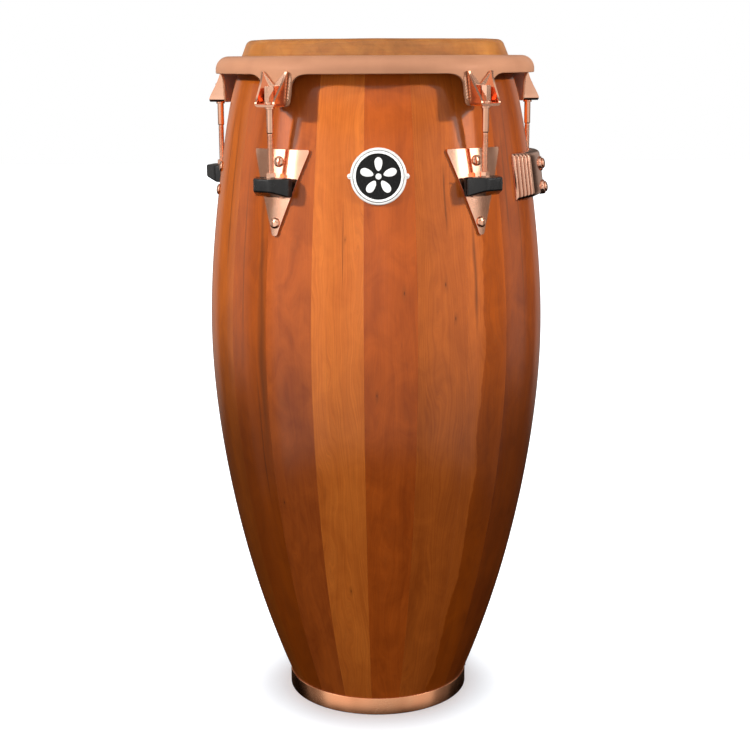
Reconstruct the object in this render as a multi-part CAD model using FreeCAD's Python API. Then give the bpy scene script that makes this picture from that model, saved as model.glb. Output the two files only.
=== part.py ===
import FreeCAD, Part
import os
from math import cos, pi, radians, sin

# A single-headed barrel drum: glued wooden staves under copper-plated, top-tuned hardware.
# Frame: origin at the centre of the foot on the floor, +Z up, badge facing -Y.
# Heights are above the floor; angles run round from the badge towards +X. Millimetres and degrees.
# Profiles are drawn in the XZ plane as (radius, height) and turned round Z.

Vector = FreeCAD.Vector

CLEAR = 0.05                      # gap between pieces that touch
RUNNING = 0.05                    # radial clearance of a bolt in its holes
CHAMFER = 0.35                    # on the corners of nuts and bolt heads

# Shell of staves
STAVES = 21
STAVE_JOINT = -4.9                # angle of the glue line left of the badge's centre
GLUE_LINE = 0.02                  # angle left open between two staves
WALL = 11.5
OUTLINE_POINTS = [(20.0, 105.0), (120.0, 140.0), (240.0, 169.2), (340.0, 184.4), (430.0, 190.0),
                  (540.0, 184.4), (640.0, 171.6), (720.0, 155.3), (756.0, 141.8)]
OUTLINE_FOOT = OUTLINE_POINTS[0][0]
OUTLINE_TOP = OUTLINE_POINTS[-1][0]

# Foot band: an angle-section ring under and round the foot
BAND_OUTER = 105.9
BAND_THICK = 2.2
BAND_HEIGHT = OUTLINE_FOOT
BAND_LIP_INNER = 92.0
FOOT_INNER = 92.6
BAND_SCREW = 1.6                  # radius of the shank
BAND_SCREW_LENGTH = 9.0
BAND_SCREW_HEIGHT = 14.0
BAND_SCREW_ANGLES = [93.0, 165.0, 237.0]

# Head, stretched over the bearing edge and lapped round the flesh hoop
HEAD_TOP = 762.0
SKIN = 2.0
SKIN_FOOT = 731.0                 # height where the skin turns under the hoop
HOOP_RADIUS = 3.4                 # of the hoop's round section
HOOP_HEIGHT = 734.0
LAP = 1.5                         # skin thickness where it laps the hoop
LAP_END = 100.0                   # the lap ends on top of the hoop

# Rim: pressed sheet crown with one tongue per lug
LUG_ANGLES = [-108.0, -36.0, 36.0, 108.0, 180.0]
SHEET = 2.6
RIM_TOP = 744.6
RIM_INNER = 150.5
RIM_OUTER = 177.5
RIM_SHOULDER = 14.5               # outer radius of the rolled shoulder
RIM_LIP = 726.0                   # underside of the lip between the lugs
COLLAR = (155.4, 158.4)           # flange under the rim that presses on the hoop
TONGUE_FOOT = 693.2
TONGUE_TOP_HALF = 19.0
TONGUE_FOOT_HALF = 17.0
TONGUE_FILLET_START = 40.0
TONGUE_HIP = 711.0                # height where the fillets end
TONGUE_CORNER = 6.0

# Ear: folded bracket welded on each tongue, which holds the bolt's head
EAR_FLOOR = 693.5
EAR_FRONT = 196.5
EAR_FLOOR_HALF = 12.5
EAR_FLOOR_THICK = 3.0
EAR_TOP = 728.5
EAR_TOP_HALF = 16.8
EAR_NOTCH = 715.0                 # lowest point of the vee between the cheeks

# Tuning bolt, 1/4 inch with 20 threads per inch
BOLT_CIRCLE = 188.0
BOLT_HEAD_FLATS = 9.5
BOLT_HEAD_TOP = 714.5
BOLT_SHANK = 3.65                 # radius of the plain part
BOLT_SHANK_FOOT = 667.0
BOLT_THREAD = 3.175               # radius over the threads
BOLT_FOOT = 602.0
WASHER_RADIUS = 6.2
WASHER_THICK = 1.9
RING_RADIUS = 5.0
RING_THICK = 2.1

# Side plate, tab and bumper under each lug
PLATE = 2.5
PLATE_TOP = 650.0
PLATE_TIP = 561.0
PLATE_HALF = 35.5
PLATE_TIP_HALF = 4.5
PLATE_BOLT_HEIGHTS = [574.0, 637.0]
TAB_FOOT = 616.5
TAB_THICK = 3.0
TAB_HALF = 12.0
TAB_END = 197.0
NUT_BARREL = 5.25
NUT_FLANGE = 7.0
NUT_FLANGE_THICK = 2.0
NUT_FLATS = 9.0
NUT_TOP = 626.8
BUMPER_FOOT = 602.0
BUMPER_TOP = 621.5
BUMPER_HALF = 21.5
BUMPER_CORNER = 187.5             # radius where the side faces turn towards the nose
BUMPER_NOSE = 204.0
BUMPER_NOSE_HALF = 11.5
BUMPER_NOSE_FOOT = 607.8

# Carriage bolts through the shell
STUD = 3.1                        # radius of the shank
DRILL = 0.15                      # clearance round the shank
STUD_HEAD = 5.8                   # radius of the domed head
STUD_DOME = 3.2
STUD_TIP = 12.0                   # length left inside the shell
STUD_WASHER = 8.0
STUD_WASHER_THICK = 1.5
STUD_NUT_FLATS = 11.0
STUD_NUT_THICK = 5.5
STUD_SEAT = 0.25                  # the flat washer stands off the hollow wall by this much

# Badge
BADGE_HEIGHT = 624.0
BADGE_RADIUS = 29.0
BADGE_THICK = 1.6
BADGE_EAR_HALF = 32.0
BADGE_EAR_RADIUS = 3.0
BADGE_PIN = 0.8
BADGE_PIN_HEAD = 1.5
BADGE_PIN_LENGTH = 8.0

# Stand bracket: cast plate that steps up from the shell to a raised crown
BRACKET_ANGLE = 77.5
BRACKET_SPAN = 41.5
BRACKET_FOOT = 591.0
BRACKET_TOP = 641.0
BRACKET_STEPS = 4
BRACKET_STEP_RISE = 3.2
BRACKET_STEP_TREAD = 2.1          # angle that each step is narrower by, on each side
BRACKET_WALL = 3.4
BRACKET_BOLT_HEIGHTS = [599.6, 625.0]
BRACKET_BOSS = 8.0
BRACKET_BOSS_RISE = 2.4
SPARE_BOLT_ANGLE = -81.0


def at(radius, height):
    """Point of a profile."""
    return Vector(radius, 0, height)


def smooth(points):
    """Edge of one curve through all the points."""
    curve = Part.BSplineCurve()
    curve.interpolate(points)
    return curve


OUTLINE = smooth([at(radius, height) for height, radius in OUTLINE_POINTS])


def on_outline(height):
    """Point of the shell's outline at a height, and its outward normal."""
    low = OUTLINE.FirstParameter
    high = OUTLINE.LastParameter
    for _ in range(50):
        middle = (low + high) / 2
        if OUTLINE.value(middle).z < height:
            low = middle
        else:
            high = middle
    slope = OUTLINE.tangent(low)[0]
    return OUTLINE.value(low), Vector(slope.z, 0, -slope.x)


def beside_outline(distance, foot, top, count=16):
    """Edge that runs a constant distance outside the shell's outline."""
    points = []
    for step in range(count):
        point, normal = on_outline(foot + (top - foot) * step / (count - 1))
        points.append(point + normal * distance)
    return smooth(points).toShape()


def lines(*points):
    """Straight edges through the points in turn."""
    return [Part.makeLine(start, end) for start, end in zip(points, points[1:])]


def arc(centre, radius, start, end):
    """Arc in the profile plane, its angles measured from the outward direction towards +Z."""
    angles = [start, (start + end) / 2, end]
    points = [centre + at(radius * cos(radians(a)), radius * sin(radians(a))) for a in angles]
    return Part.Arc(*points).toShape()


def face(edges):
    """Flat face inside a closed loop of edges."""
    return Part.Face(Part.Wire(Part.__sortEdges__(edges)))


def ends(edge):
    """First and last point of an edge."""
    return edge.valueAt(edge.FirstParameter), edge.valueAt(edge.LastParameter)


def turned(shape, angle):
    """Copy of a shape turned round the drum's axis."""
    copy = shape.copy()
    copy.rotate(Vector(0, 0, 0), Vector(0, 0, 1), angle)
    return copy


def swept(profile, start=0.0, sweep=360.0):
    """Solid swept round the axis from a start angle, by a sweep angle."""
    return turned(profile, start - 90).revolve(Vector(0, 0, 0), Vector(0, 0, 1), sweep)


def on_shell(shape, height, angle):
    """Copy of a shape with its origin set on the shell and its +Z along the outward normal."""
    point, normal = on_outline(height)
    copy = shape.copy()
    turn = FreeCAD.Rotation(Vector(0, 0, 1), normal)
    copy.Placement = FreeCAD.Placement(point, turn).multiply(copy.Placement)
    return turned(copy, angle - 90)


def ring(radius, thick, bore, foot=0.0):
    """Flat washer round +Z."""
    return Part.makeCylinder(radius, thick, Vector(0, 0, foot)).cut(
        Part.makeCylinder(bore, thick, Vector(0, 0, foot)))


def hexagon(flats, thick, foot=0.0):
    """Hexagonal prism round +Z with its top corners chamfered."""
    corner = flats / 2 / cos(pi / 6)
    points = [Vector(corner * cos(k * pi / 3), corner * sin(k * pi / 3), foot) for k in range(7)]
    prism = Part.Face(Part.makePolygon(points)).extrude(Vector(0, 0, thick))
    blunt = corner - CHAMFER
    return prism.common(Part.makeCone(blunt + thick, blunt, thick, Vector(0, 0, foot))).Solids[0]


def dome(radius, rise, foot=0.0):
    """Shallow spherical cap on a short rim, round +Z."""
    edge_rise = rise * 0.2
    cap = rise - edge_rise
    ball = (radius * radius + cap * cap) / (2 * cap)
    top = at(0, foot + rise)
    shoulder = at(radius, foot + edge_rise)
    mid_angle = 0.5 * radius / ball
    middle = at(ball * sin(mid_angle), foot + rise - ball * (1 - cos(mid_angle)))
    edges = lines(top, at(0, foot), at(radius, foot), shoulder)
    edges.append(Part.Arc(shoulder, middle, top).toShape())
    return face(edges).revolve(Vector(0, 0, 0), Vector(0, 0, 1), 360)


# Shell ---------------------------------------------------------------------------------------

def bearing_edge():
    """Centre, radius and start angle of the round-over that the head is stretched across."""
    edge, normal = on_outline(OUTLINE_TOP)
    radius = (HEAD_TOP - SKIN - CLEAR - edge.z) / (1 - normal.z)
    tilt = Vector(1, 0, 0).getAngle(normal) * 180 / pi
    return edge - normal * radius, radius, tilt


def stave_profile():
    """Section through the shell's wall, with a rebate for the foot band."""
    foot_outer = BAND_OUTER - BAND_THICK - CLEAR
    foot = BAND_THICK + CLEAR
    outer = OUTLINE.toShape()
    centre, round_over, tilt = bearing_edge()
    bearing = arc(centre, round_over, tilt, 90)
    apex = centre + at(0, round_over)
    inner = beside_outline(-WALL, OUTLINE_FOOT + 4, OUTLINE_TOP)
    inner_foot, inner_top = ends(inner)
    edges = [outer, bearing, inner]
    edges += lines(apex, inner_top)
    edges += lines(inner_foot, at(FOOT_INNER, OUTLINE_FOOT), at(FOOT_INNER, foot),
                   at(foot_outer, foot), at(foot_outer, OUTLINE_FOOT), ends(outer)[0])
    return face(edges)


def shell_holes():
    """Drilled holes for the carriage bolts, the badge's pins and the foot band's screws."""
    drill = Part.makeCylinder(STUD + DRILL, 60, Vector(0, 0, -30))
    holes = [on_shell(drill, height, angle) for height, angle in stud_places()]
    pin = Part.makeCylinder(BADGE_PIN + 0.02, BADGE_PIN_LENGTH + 1,
                            Vector(0, 0, -BADGE_PIN_LENGTH - 0.2))
    holes += [on_shell(pin, BADGE_HEIGHT, angle) for angle in badge_pin_angles()]
    holes += band_screw_holes()
    return Part.makeCompound(holes)


def stave(number):
    """One stave of the shell, numbered round from the badge."""
    pitch = 360.0 / STAVES
    start = STAVE_JOINT + pitch * number
    return swept(STAVE_PROFILE, start + GLUE_LINE / 2, pitch - GLUE_LINE).cut(SHELL_HOLES)


def bottom_ring():
    """Foot band: a rolled angle with a softened top edge."""
    soft = 0.7
    inner = BAND_OUTER - BAND_THICK
    edges = lines(at(BAND_LIP_INNER, 0), at(BAND_OUTER - soft, 0), at(BAND_OUTER, soft),
                  at(BAND_OUTER, BAND_HEIGHT - soft), at(BAND_OUTER - soft, BAND_HEIGHT),
                  at(inner, BAND_HEIGHT), at(inner, BAND_THICK), at(BAND_LIP_INNER, BAND_THICK),
                  at(BAND_LIP_INNER, 0))
    band = swept(face(edges))
    return band.cut(Part.makeCompound(band_screw_holes()))


def at_band(shape):
    """Copy of a shape with its +Z along +X and its origin on the foot band."""
    copy = shape.copy()
    turn = FreeCAD.Rotation(Vector(0, 0, 1), Vector(1, 0, 0))
    copy.Placement = FreeCAD.Placement(Vector(BAND_OUTER, 0, BAND_SCREW_HEIGHT), turn)
    return copy


def band_screws():
    """Round-head wood screws through the foot band."""
    shank = Part.makeCylinder(BAND_SCREW, BAND_SCREW_LENGTH, Vector(0, 0, -BAND_SCREW_LENGTH))
    screw = at_band(shank.fuse(dome(3.0, 1.9, 0.02)))
    return Part.makeCompound([turned(screw, angle - 90) for angle in BAND_SCREW_ANGLES])


def band_screw_holes():
    """Holes for the foot band's screws."""
    hole = at_band(Part.makeCylinder(BAND_SCREW + 0.03, BAND_SCREW_LENGTH + 2,
                                     Vector(0, 0, -BAND_SCREW_LENGTH - 0.2)))
    return [turned(hole, angle - 90) for angle in BAND_SCREW_ANGLES]


# Head ----------------------------------------------------------------------------------------

def hoop_centre():
    """Centre of the flesh hoop's section, just outside the hanging skin."""
    point, normal = on_outline(HOOP_HEIGHT)
    return at(point.x + SKIN + HOOP_RADIUS + 0.8, HOOP_HEIGHT)


def drumhead():
    """Skin with its skirt down over the bearing edge and lapped round the hoop."""
    inner = beside_outline(CLEAR, SKIN_FOOT, OUTLINE_TOP)
    centre, round_over, tilt = bearing_edge()
    over = arc(centre, HEAD_TOP - centre.z, tilt, 90)
    under = arc(centre, round_over + CLEAR, tilt, 90)
    outer = beside_outline(HEAD_TOP - centre.z - round_over, SKIN_FOOT, OUTLINE_TOP)
    edges = [inner, outer, over, under]
    edges += lines(ends(inner)[0], ends(outer)[0])
    edges += lines(at(centre.x, round_over + CLEAR + centre.z), at(0, round_over + CLEAR + centre.z),
                   at(0, HEAD_TOP), at(centre.x, HEAD_TOP))
    skin = swept(face(edges))
    hoop = hoop_centre()
    inside = HOOP_RADIUS + CLEAR
    outside = inside + LAP
    start, end = 175.0, 360.0 + LAP_END
    lap = [arc(hoop, inside, start, end), arc(hoop, outside, start, end)]
    for angle in (start, end):
        way = at(cos(radians(angle)), sin(radians(angle)))
        lap += lines(hoop + way * inside, hoop + way * outside)
    return skin.fuse(swept(face(lap))).removeSplitter()


def flesh_hoop():
    """Round wire ring inside the lapped skin."""
    centre = hoop_centre()
    return Part.makeTorus(centre.x, HOOP_RADIUS, Vector(0, 0, centre.z))


# Rim -----------------------------------------------------------------------------------------

def tongue():
    """Front tongue of the rim: the lip swept down in two large fillets to a rounded foot."""
    edges = []
    for side in (-1, 1):
        start = Vector(side * TONGUE_FILLET_START, 0, RIM_LIP)
        hip = Vector(side * TONGUE_TOP_HALF, 0, TONGUE_HIP)
        ankle = Vector(side * TONGUE_FOOT_HALF, 0, TONGUE_FOOT + TONGUE_CORNER)
        toe = Vector(side * (TONGUE_FOOT_HALF - TONGUE_CORNER), 0, TONGUE_FOOT)
        sweep = Part.BezierCurve()
        sweep.setPoles([start, Vector(side * 27, 0, RIM_LIP), Vector(side * 19.8, 0, 722), hip])
        corner = Part.BezierCurve()
        corner.setPoles([ankle, Vector(side * (TONGUE_FOOT_HALF - 0.6), 0, TONGUE_FOOT), toe])
        edges += [sweep.toShape(), corner.toShape()]
        edges += lines(hip, ankle)
        edges += lines(start, Vector(start.x, 0, RIM_LIP + 2))
    edges += lines(Vector(-TONGUE_FILLET_START, 0, RIM_LIP + 2),
                  Vector(TONGUE_FILLET_START, 0, RIM_LIP + 2))
    edges += lines(Vector(TONGUE_FOOT_HALF - TONGUE_CORNER, 0, TONGUE_FOOT),
                  Vector(TONGUE_CORNER - TONGUE_FOOT_HALF, 0, TONGUE_FOOT))
    outline = face(edges).extrude(Vector(0, -2 * RIM_OUTER, 0))
    inner = RIM_OUTER - SHEET
    low = TONGUE_FOOT - 3
    high = RIM_LIP + 4
    sheet = face(lines(at(inner, low), at(RIM_OUTER, low), at(RIM_OUTER, high), at(inner, high),
                       at(inner, low)))
    return swept(sheet, -20, 40).common(outline)


def rim():
    """Crown: flat top, rolled shoulder, lip, pressing collar and a tongue at each lug."""
    bend = at(RIM_OUTER - RIM_SHOULDER, RIM_TOP - RIM_SHOULDER)
    under = RIM_TOP - SHEET
    inner = RIM_OUTER - SHEET
    soft = 1.0
    collar_foot = hoop_centre().z + HOOP_RADIUS + CLEAR + LAP + CLEAR
    edges = [arc(bend, RIM_SHOULDER, 0, 90), arc(bend, RIM_SHOULDER - SHEET, 0, 90)]
    edges += lines(at(bend.x, RIM_TOP), at(RIM_INNER + soft, RIM_TOP), at(RIM_INNER, RIM_TOP - soft),
                   at(RIM_INNER, under), at(COLLAR[0], under), at(COLLAR[0], collar_foot),
                   at(COLLAR[1], collar_foot), at(COLLAR[1], under), at(bend.x, under))
    edges += lines(at(inner, bend.z), at(inner, RIM_LIP), at(RIM_OUTER, RIM_LIP), at(RIM_OUTER, bend.z))
    crown = swept(face(edges))
    return crown.multiFuse([turned(tongue(), angle) for angle in LUG_ANGLES]).removeSplitter()


def ear():
    """Folded bracket: floor, vee-notched back and two splayed cheeks, facing -Y."""
    back = RIM_OUTER + CLEAR
    lean = (EAR_TOP_HALF - EAR_FLOOR_HALF) / (EAR_TOP - EAR_FLOOR)
    floor = Part.makeBox(2 * EAR_FLOOR_HALF, EAR_FRONT - back, EAR_FLOOR_THICK,
                        Vector(-EAR_FLOOR_HALF, -EAR_FRONT, EAR_FLOOR))
    plate = [Vector(-EAR_FLOOR_HALF, -back, EAR_FLOOR), Vector(EAR_FLOOR_HALF, -back, EAR_FLOOR),
             Vector(EAR_TOP_HALF, -back, EAR_TOP), Vector(EAR_TOP_HALF - 2.5, -back, EAR_TOP),
             Vector(0, -back, EAR_NOTCH), Vector(2.5 - EAR_TOP_HALF, -back, EAR_TOP),
             Vector(-EAR_TOP_HALF, -back, EAR_TOP)]
    backing = Part.Face(Part.makePolygon(plate + plate[:1])).extrude(Vector(0, -SHEET, 0))
    cheeks = []
    for side in (-1, 1):
        foot = Vector(side * EAR_FLOOR_HALF, -back, EAR_FLOOR)
        slope = Vector(side * lean, 0, 1)
        toe = foot + Vector(0, back - EAR_FRONT, 0)
        lip = toe + slope * 4
        top = foot + slope * (EAR_TOP - EAR_FLOOR)
        top_front = top + Vector(0, -SHEET, 0)
        front = Part.BezierCurve()
        low_pull = toe + slope * 11 + Vector(0, 2.5, 0)
        high_pull = top_front + slope * -13 + Vector(0, -4, 0)
        front.setPoles([lip, low_pull, high_pull, top_front])
        edges = lines(top, foot, toe, lip) + lines(top_front, top)
        edges.append(front.toShape())
        cheeks.append(face(edges).extrude(Vector(-side * SHEET, 0, 0)))
    bracket = floor.multiFuse([backing] + cheeks).removeSplitter()
    bore = Part.makeCylinder(BOLT_SHANK + RUNNING, 20, Vector(0, -BOLT_CIRCLE, EAR_FLOOR - 8))
    return bracket.cut(bore)


# Tuning bolts --------------------------------------------------------------------------------

def at_lug(shape):
    """Copy of a shape moved from the drum's axis out to the bolt circle, facing -Y."""
    copy = shape.copy()
    copy.translate(Vector(0, -BOLT_CIRCLE, 0))
    return copy


def tuning_bolt():
    """Hexagon bolt with a plain shank above a thinner threaded part."""
    seat = EAR_FLOOR + EAR_FLOOR_THICK + WASHER_THICK + 2 * CLEAR
    head = hexagon(BOLT_HEAD_FLATS, BOLT_HEAD_TOP - seat, seat)
    taper = BOLT_SHANK - BOLT_THREAD
    edges = lines(at(0, BOLT_FOOT), at(BOLT_THREAD - 1, BOLT_FOOT), at(BOLT_THREAD, BOLT_FOOT + 1),
                  at(BOLT_THREAD, BOLT_SHANK_FOOT - taper), at(BOLT_SHANK, BOLT_SHANK_FOOT),
                  at(BOLT_SHANK, seat + 2), at(0, seat + 2), at(0, BOLT_FOOT))
    return at_lug(head.fuse(swept(face(edges))).removeSplitter())


def bolt_washer():
    """Flat washer between the bolt's head and the ear's floor."""
    return at_lug(ring(WASHER_RADIUS, WASHER_THICK, BOLT_SHANK + RUNNING,
                       EAR_FLOOR + EAR_FLOOR_THICK + CLEAR))


def retaining_ring():
    """Push-on ring that keeps the bolt in the ear."""
    return at_lug(ring(RING_RADIUS, RING_THICK, BOLT_SHANK + RUNNING, EAR_FLOOR - CLEAR - RING_THICK))


def lug_nut():
    """Flanged nut pushed up through the side plate's tab."""
    tab_top = TAB_FOOT + TAB_THICK
    flange = Part.makeCylinder(NUT_FLANGE, NUT_FLANGE_THICK,
                               Vector(0, 0, TAB_FOOT - CLEAR - NUT_FLANGE_THICK))
    barrel = Part.makeCylinder(NUT_BARREL, TAB_THICK + CLEAR, Vector(0, 0, TAB_FOOT - CLEAR))
    top = hexagon(NUT_FLATS, NUT_TOP - tab_top, tab_top)
    bore = Part.makeCylinder(BOLT_THREAD + RUNNING, 20, Vector(0, 0, TAB_FOOT - 6))
    return at_lug(flange.multiFuse([barrel, top]).cut(bore))


# Side plates and bumpers ---------------------------------------------------------------------

def shell_sheet(inside, outside, foot, top, start, sweep):
    """Sheet that follows the shell between two distances outside it."""
    inner = beside_outline(inside, foot, top)
    outer = beside_outline(outside, foot, top)
    edges = [inner, outer]
    edges += lines(ends(inner)[0], ends(outer)[0])
    edges += lines(ends(inner)[1], ends(outer)[1])
    return swept(face(edges), start, sweep)


def side_plate():
    """Triangular plate on the shell with a tab that takes the lug nut, facing -Y."""
    sheet = shell_sheet(CLEAR, CLEAR + PLATE, PLATE_TIP - 4, PLATE_TOP + 6, -16, 32)
    tip = Vector(0, 0, PLATE_TIP)
    corner = Part.BezierCurve()
    corner.setPoles([Vector(-PLATE_TIP_HALF, 0, PLATE_TIP + 5),
                     Vector(1 - PLATE_TIP_HALF, 0, PLATE_TIP), tip])
    other = Part.BezierCurve()
    other.setPoles([tip, Vector(PLATE_TIP_HALF - 1, 0, PLATE_TIP),
                    Vector(PLATE_TIP_HALF, 0, PLATE_TIP + 5)])
    edges = [corner.toShape(), other.toShape()]
    edges += lines(Vector(-PLATE_TIP_HALF, 0, PLATE_TIP + 5), Vector(-PLATE_HALF, 0, PLATE_TOP - 2),
                   Vector(-PLATE_HALF + 1, 0, PLATE_TOP), Vector(PLATE_HALF - 1, 0, PLATE_TOP),
                   Vector(PLATE_HALF, 0, PLATE_TOP - 2), Vector(PLATE_TIP_HALF, 0, PLATE_TIP + 5))
    plate = sheet.common(face(edges).extrude(Vector(0, -230, 0)))
    root = on_outline(TAB_FOOT)[0].x + 1.2
    tab = Part.makeBox(2 * TAB_HALF, TAB_END - root, TAB_THICK, Vector(-TAB_HALF, -TAB_END, TAB_FOOT))
    upright = [edge for edge in tab.Edges
               if abs(edge.tangentAt(edge.FirstParameter).z) > 0.99 and edge.CenterOfMass.y < -root - 5]
    tab = tab.makeFillet(4.0, upright)
    drill = Part.makeCylinder(STUD + DRILL, 20, Vector(0, 0, -5))
    holes = [on_shell(drill, height, 0) for height in PLATE_BOLT_HEIGHTS]
    holes.append(at_lug(Part.makeCylinder(NUT_BARREL + CLEAR, 20, Vector(0, 0, TAB_FOOT - 10))))
    return plate.fuse(tab).cut(Part.makeCompound(holes))


def bumper():
    """Rubber block over the tab, with a blunt nose and an underside that rises towards it."""
    back = on_outline(BUMPER_FOOT)[0].x + PLATE + 0.6
    plan = [(-BUMPER_HALF, back), (-BUMPER_HALF, BUMPER_CORNER), (-BUMPER_NOSE_HALF, BUMPER_NOSE),
            (BUMPER_NOSE_HALF, BUMPER_NOSE), (BUMPER_HALF, BUMPER_CORNER), (BUMPER_HALF, back)]
    points = [Vector(x, -radius, BUMPER_FOOT) for x, radius in plan]
    block = Part.Face(Part.makePolygon(points + points[:1])).extrude(Vector(0, 0, BUMPER_TOP - BUMPER_FOOT))
    corners = [edge for edge in block.Edges
               if abs(edge.tangentAt(edge.FirstParameter).z) > 0.99 and edge.CenterOfMass.y < -back - 2]
    block = block.makeFillet(3.0, corners)
    wedge = [Vector(-40, -BUMPER_CORNER, BUMPER_FOOT), Vector(-40, -BUMPER_NOSE - 1, BUMPER_NOSE_FOOT),
             Vector(-40, -BUMPER_NOSE - 1, BUMPER_FOOT - 5), Vector(-40, -BUMPER_CORNER, BUMPER_FOOT - 5)]
    under = Part.Face(Part.makePolygon(wedge + wedge[:1])).extrude(Vector(80, 0, 0))
    slot = Part.makeBox(2 * TAB_HALF + 0.2, TAB_END + 0.1 - back + 5, TAB_THICK + 0.2,
                        Vector(-TAB_HALF - 0.1, -TAB_END - 0.1, TAB_FOOT - 0.1))
    over = at_lug(Part.makeCylinder(NUT_BARREL + 0.8, 20, Vector(0, 0, TAB_FOOT)))
    flange = at_lug(Part.makeCylinder(NUT_FLANGE + 0.3, NUT_FLANGE_THICK + 0.4,
                                      Vector(0, 0, TAB_FOOT - NUT_FLANGE_THICK - 0.3)))
    way = at_lug(Part.makeCylinder(BOLT_THREAD + 0.9, 30, Vector(0, 0, BUMPER_FOOT - 5)))
    return block.cut(Part.makeCompound([under, slot, over, flange, way]))


# Carriage bolts ------------------------------------------------------------------------------

def carriage_bolt(seat):
    """Domed bolt through the shell, its head on a surface at a distance outside the shell."""
    shank = Part.makeCylinder(STUD, seat + WALL + STUD_TIP, Vector(0, 0, -WALL - STUD_TIP))
    return shank.fuse(dome(STUD_HEAD, STUD_DOME, seat)).removeSplitter()


def stud_washer():
    """Flat washer inside the shell."""
    return ring(STUD_WASHER, STUD_WASHER_THICK, STUD + CLEAR, -WALL - STUD_SEAT - STUD_WASHER_THICK)


def stud_nut():
    """Nut inside the shell."""
    foot = -WALL - STUD_SEAT - STUD_WASHER_THICK - CLEAR - STUD_NUT_THICK
    nut = hexagon(STUD_NUT_FLATS, STUD_NUT_THICK, foot)
    return nut.cut(Part.makeCylinder(STUD + CLEAR, STUD_NUT_THICK, Vector(0, 0, foot)))


def stud_places():
    """Height and angle of every carriage bolt."""
    places = [(height, angle) for angle in LUG_ANGLES for height in PLATE_BOLT_HEIGHTS]
    places += [(height, angle) for angle in (BRACKET_ANGLE, SPARE_BOLT_ANGLE)
               for height in BRACKET_BOLT_HEIGHTS]
    return places


def repeated(shape, places):
    """The same piece set on the shell at each place."""
    return Part.makeCompound([on_shell(shape, height, angle) for height, angle in places])


# Badge ---------------------------------------------------------------------------------------

def badge_pin_angles():
    """Angles of the two pins, through the middles of the badge's ears."""
    reach = BADGE_EAR_HALF - BADGE_EAR_RADIUS + 0.6
    angle = reach / on_outline(BADGE_HEIGHT)[0].x * 180 / pi
    return [-angle, angle]


def badge():
    """Thin round plate bent to the shell, with a small ear on each side."""
    sheet = shell_sheet(CLEAR, CLEAR + BADGE_THICK, BADGE_HEIGHT - 34, BADGE_HEIGHT + 34, -14, 28)
    away = Vector(0, -1, 0)
    disc = Part.makeCylinder(BADGE_RADIUS, 230, Vector(0, 0, BADGE_HEIGHT), away)
    bar = Part.makeBox(2 * (BADGE_EAR_HALF - BADGE_EAR_RADIUS), 230, 2 * BADGE_EAR_RADIUS,
                       Vector(BADGE_EAR_RADIUS - BADGE_EAR_HALF, -230, BADGE_HEIGHT - BADGE_EAR_RADIUS))
    tips = [Part.makeCylinder(BADGE_EAR_RADIUS, 230,
                              Vector(side * (BADGE_EAR_HALF - BADGE_EAR_RADIUS), 0, BADGE_HEIGHT), away)
            for side in (-1, 1)]
    plate = sheet.common(disc.multiFuse([bar] + tips))
    drill = Part.makeCylinder(BADGE_PIN + 0.02, 8, Vector(0, 0, -3))
    return plate.cut(Part.makeCompound([on_shell(drill, BADGE_HEIGHT, a) for a in badge_pin_angles()]))


def badge_pin():
    """Small round-head nail."""
    seat = BADGE_THICK + CLEAR + 0.05
    shank = Part.makeCylinder(BADGE_PIN, BADGE_PIN_LENGTH + seat, Vector(0, 0, -BADGE_PIN_LENGTH))
    return shank.fuse(dome(BADGE_PIN_HEAD, 1.0, seat)).removeSplitter()


# Stand bracket -------------------------------------------------------------------------------

def bracket_crown():
    """Distance of the bracket's crown outside the shell."""
    return CLEAR + BRACKET_STEPS * BRACKET_STEP_RISE


def stand_bracket():
    """Cast plate with stepped flanks, hollow behind, and a boss round each bolt."""
    layers = []
    for step in range(1, BRACKET_STEPS + 1):
        inset = (step - 1) * BRACKET_STEP_TREAD
        shrink = (step - 1) * 0.9
        layers.append(shell_sheet(CLEAR, CLEAR + step * BRACKET_STEP_RISE,
                                  BRACKET_FOOT + shrink, BRACKET_TOP - shrink,
                                  BRACKET_ANGLE - BRACKET_SPAN / 2 + inset, BRACKET_SPAN - 2 * inset))
    boss = Part.makeCylinder(BRACKET_BOSS, bracket_crown() + BRACKET_BOSS_RISE - 1, Vector(0, 0, 1))
    bosses = [on_shell(boss, height, BRACKET_ANGLE) for height in BRACKET_BOLT_HEIGHTS]
    plate = layers[0].multiFuse(layers[1:] + bosses)
    half = BRACKET_SPAN / 2 - BRACKET_STEPS * BRACKET_STEP_TREAD
    rooms = []
    for side in (-1, 1):
        start = BRACKET_ANGLE + (3.6 if side > 0 else -half)
        rooms.append(shell_sheet(-5, bracket_crown() - BRACKET_WALL, BRACKET_FOOT + 7, BRACKET_TOP - 7,
                                 start, half - 3.6))
    drill = Part.makeCylinder(STUD + DRILL, 60, Vector(0, 0, -10))
    holes = [on_shell(drill, height, BRACKET_ANGLE) for height in BRACKET_BOLT_HEIGHTS]
    return plate.cut(Part.makeCompound(rooms + holes))


# Every piece ---------------------------------------------------------------------------------

STAVE_PROFILE = stave_profile()
SHELL_HOLES = shell_holes()


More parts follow.
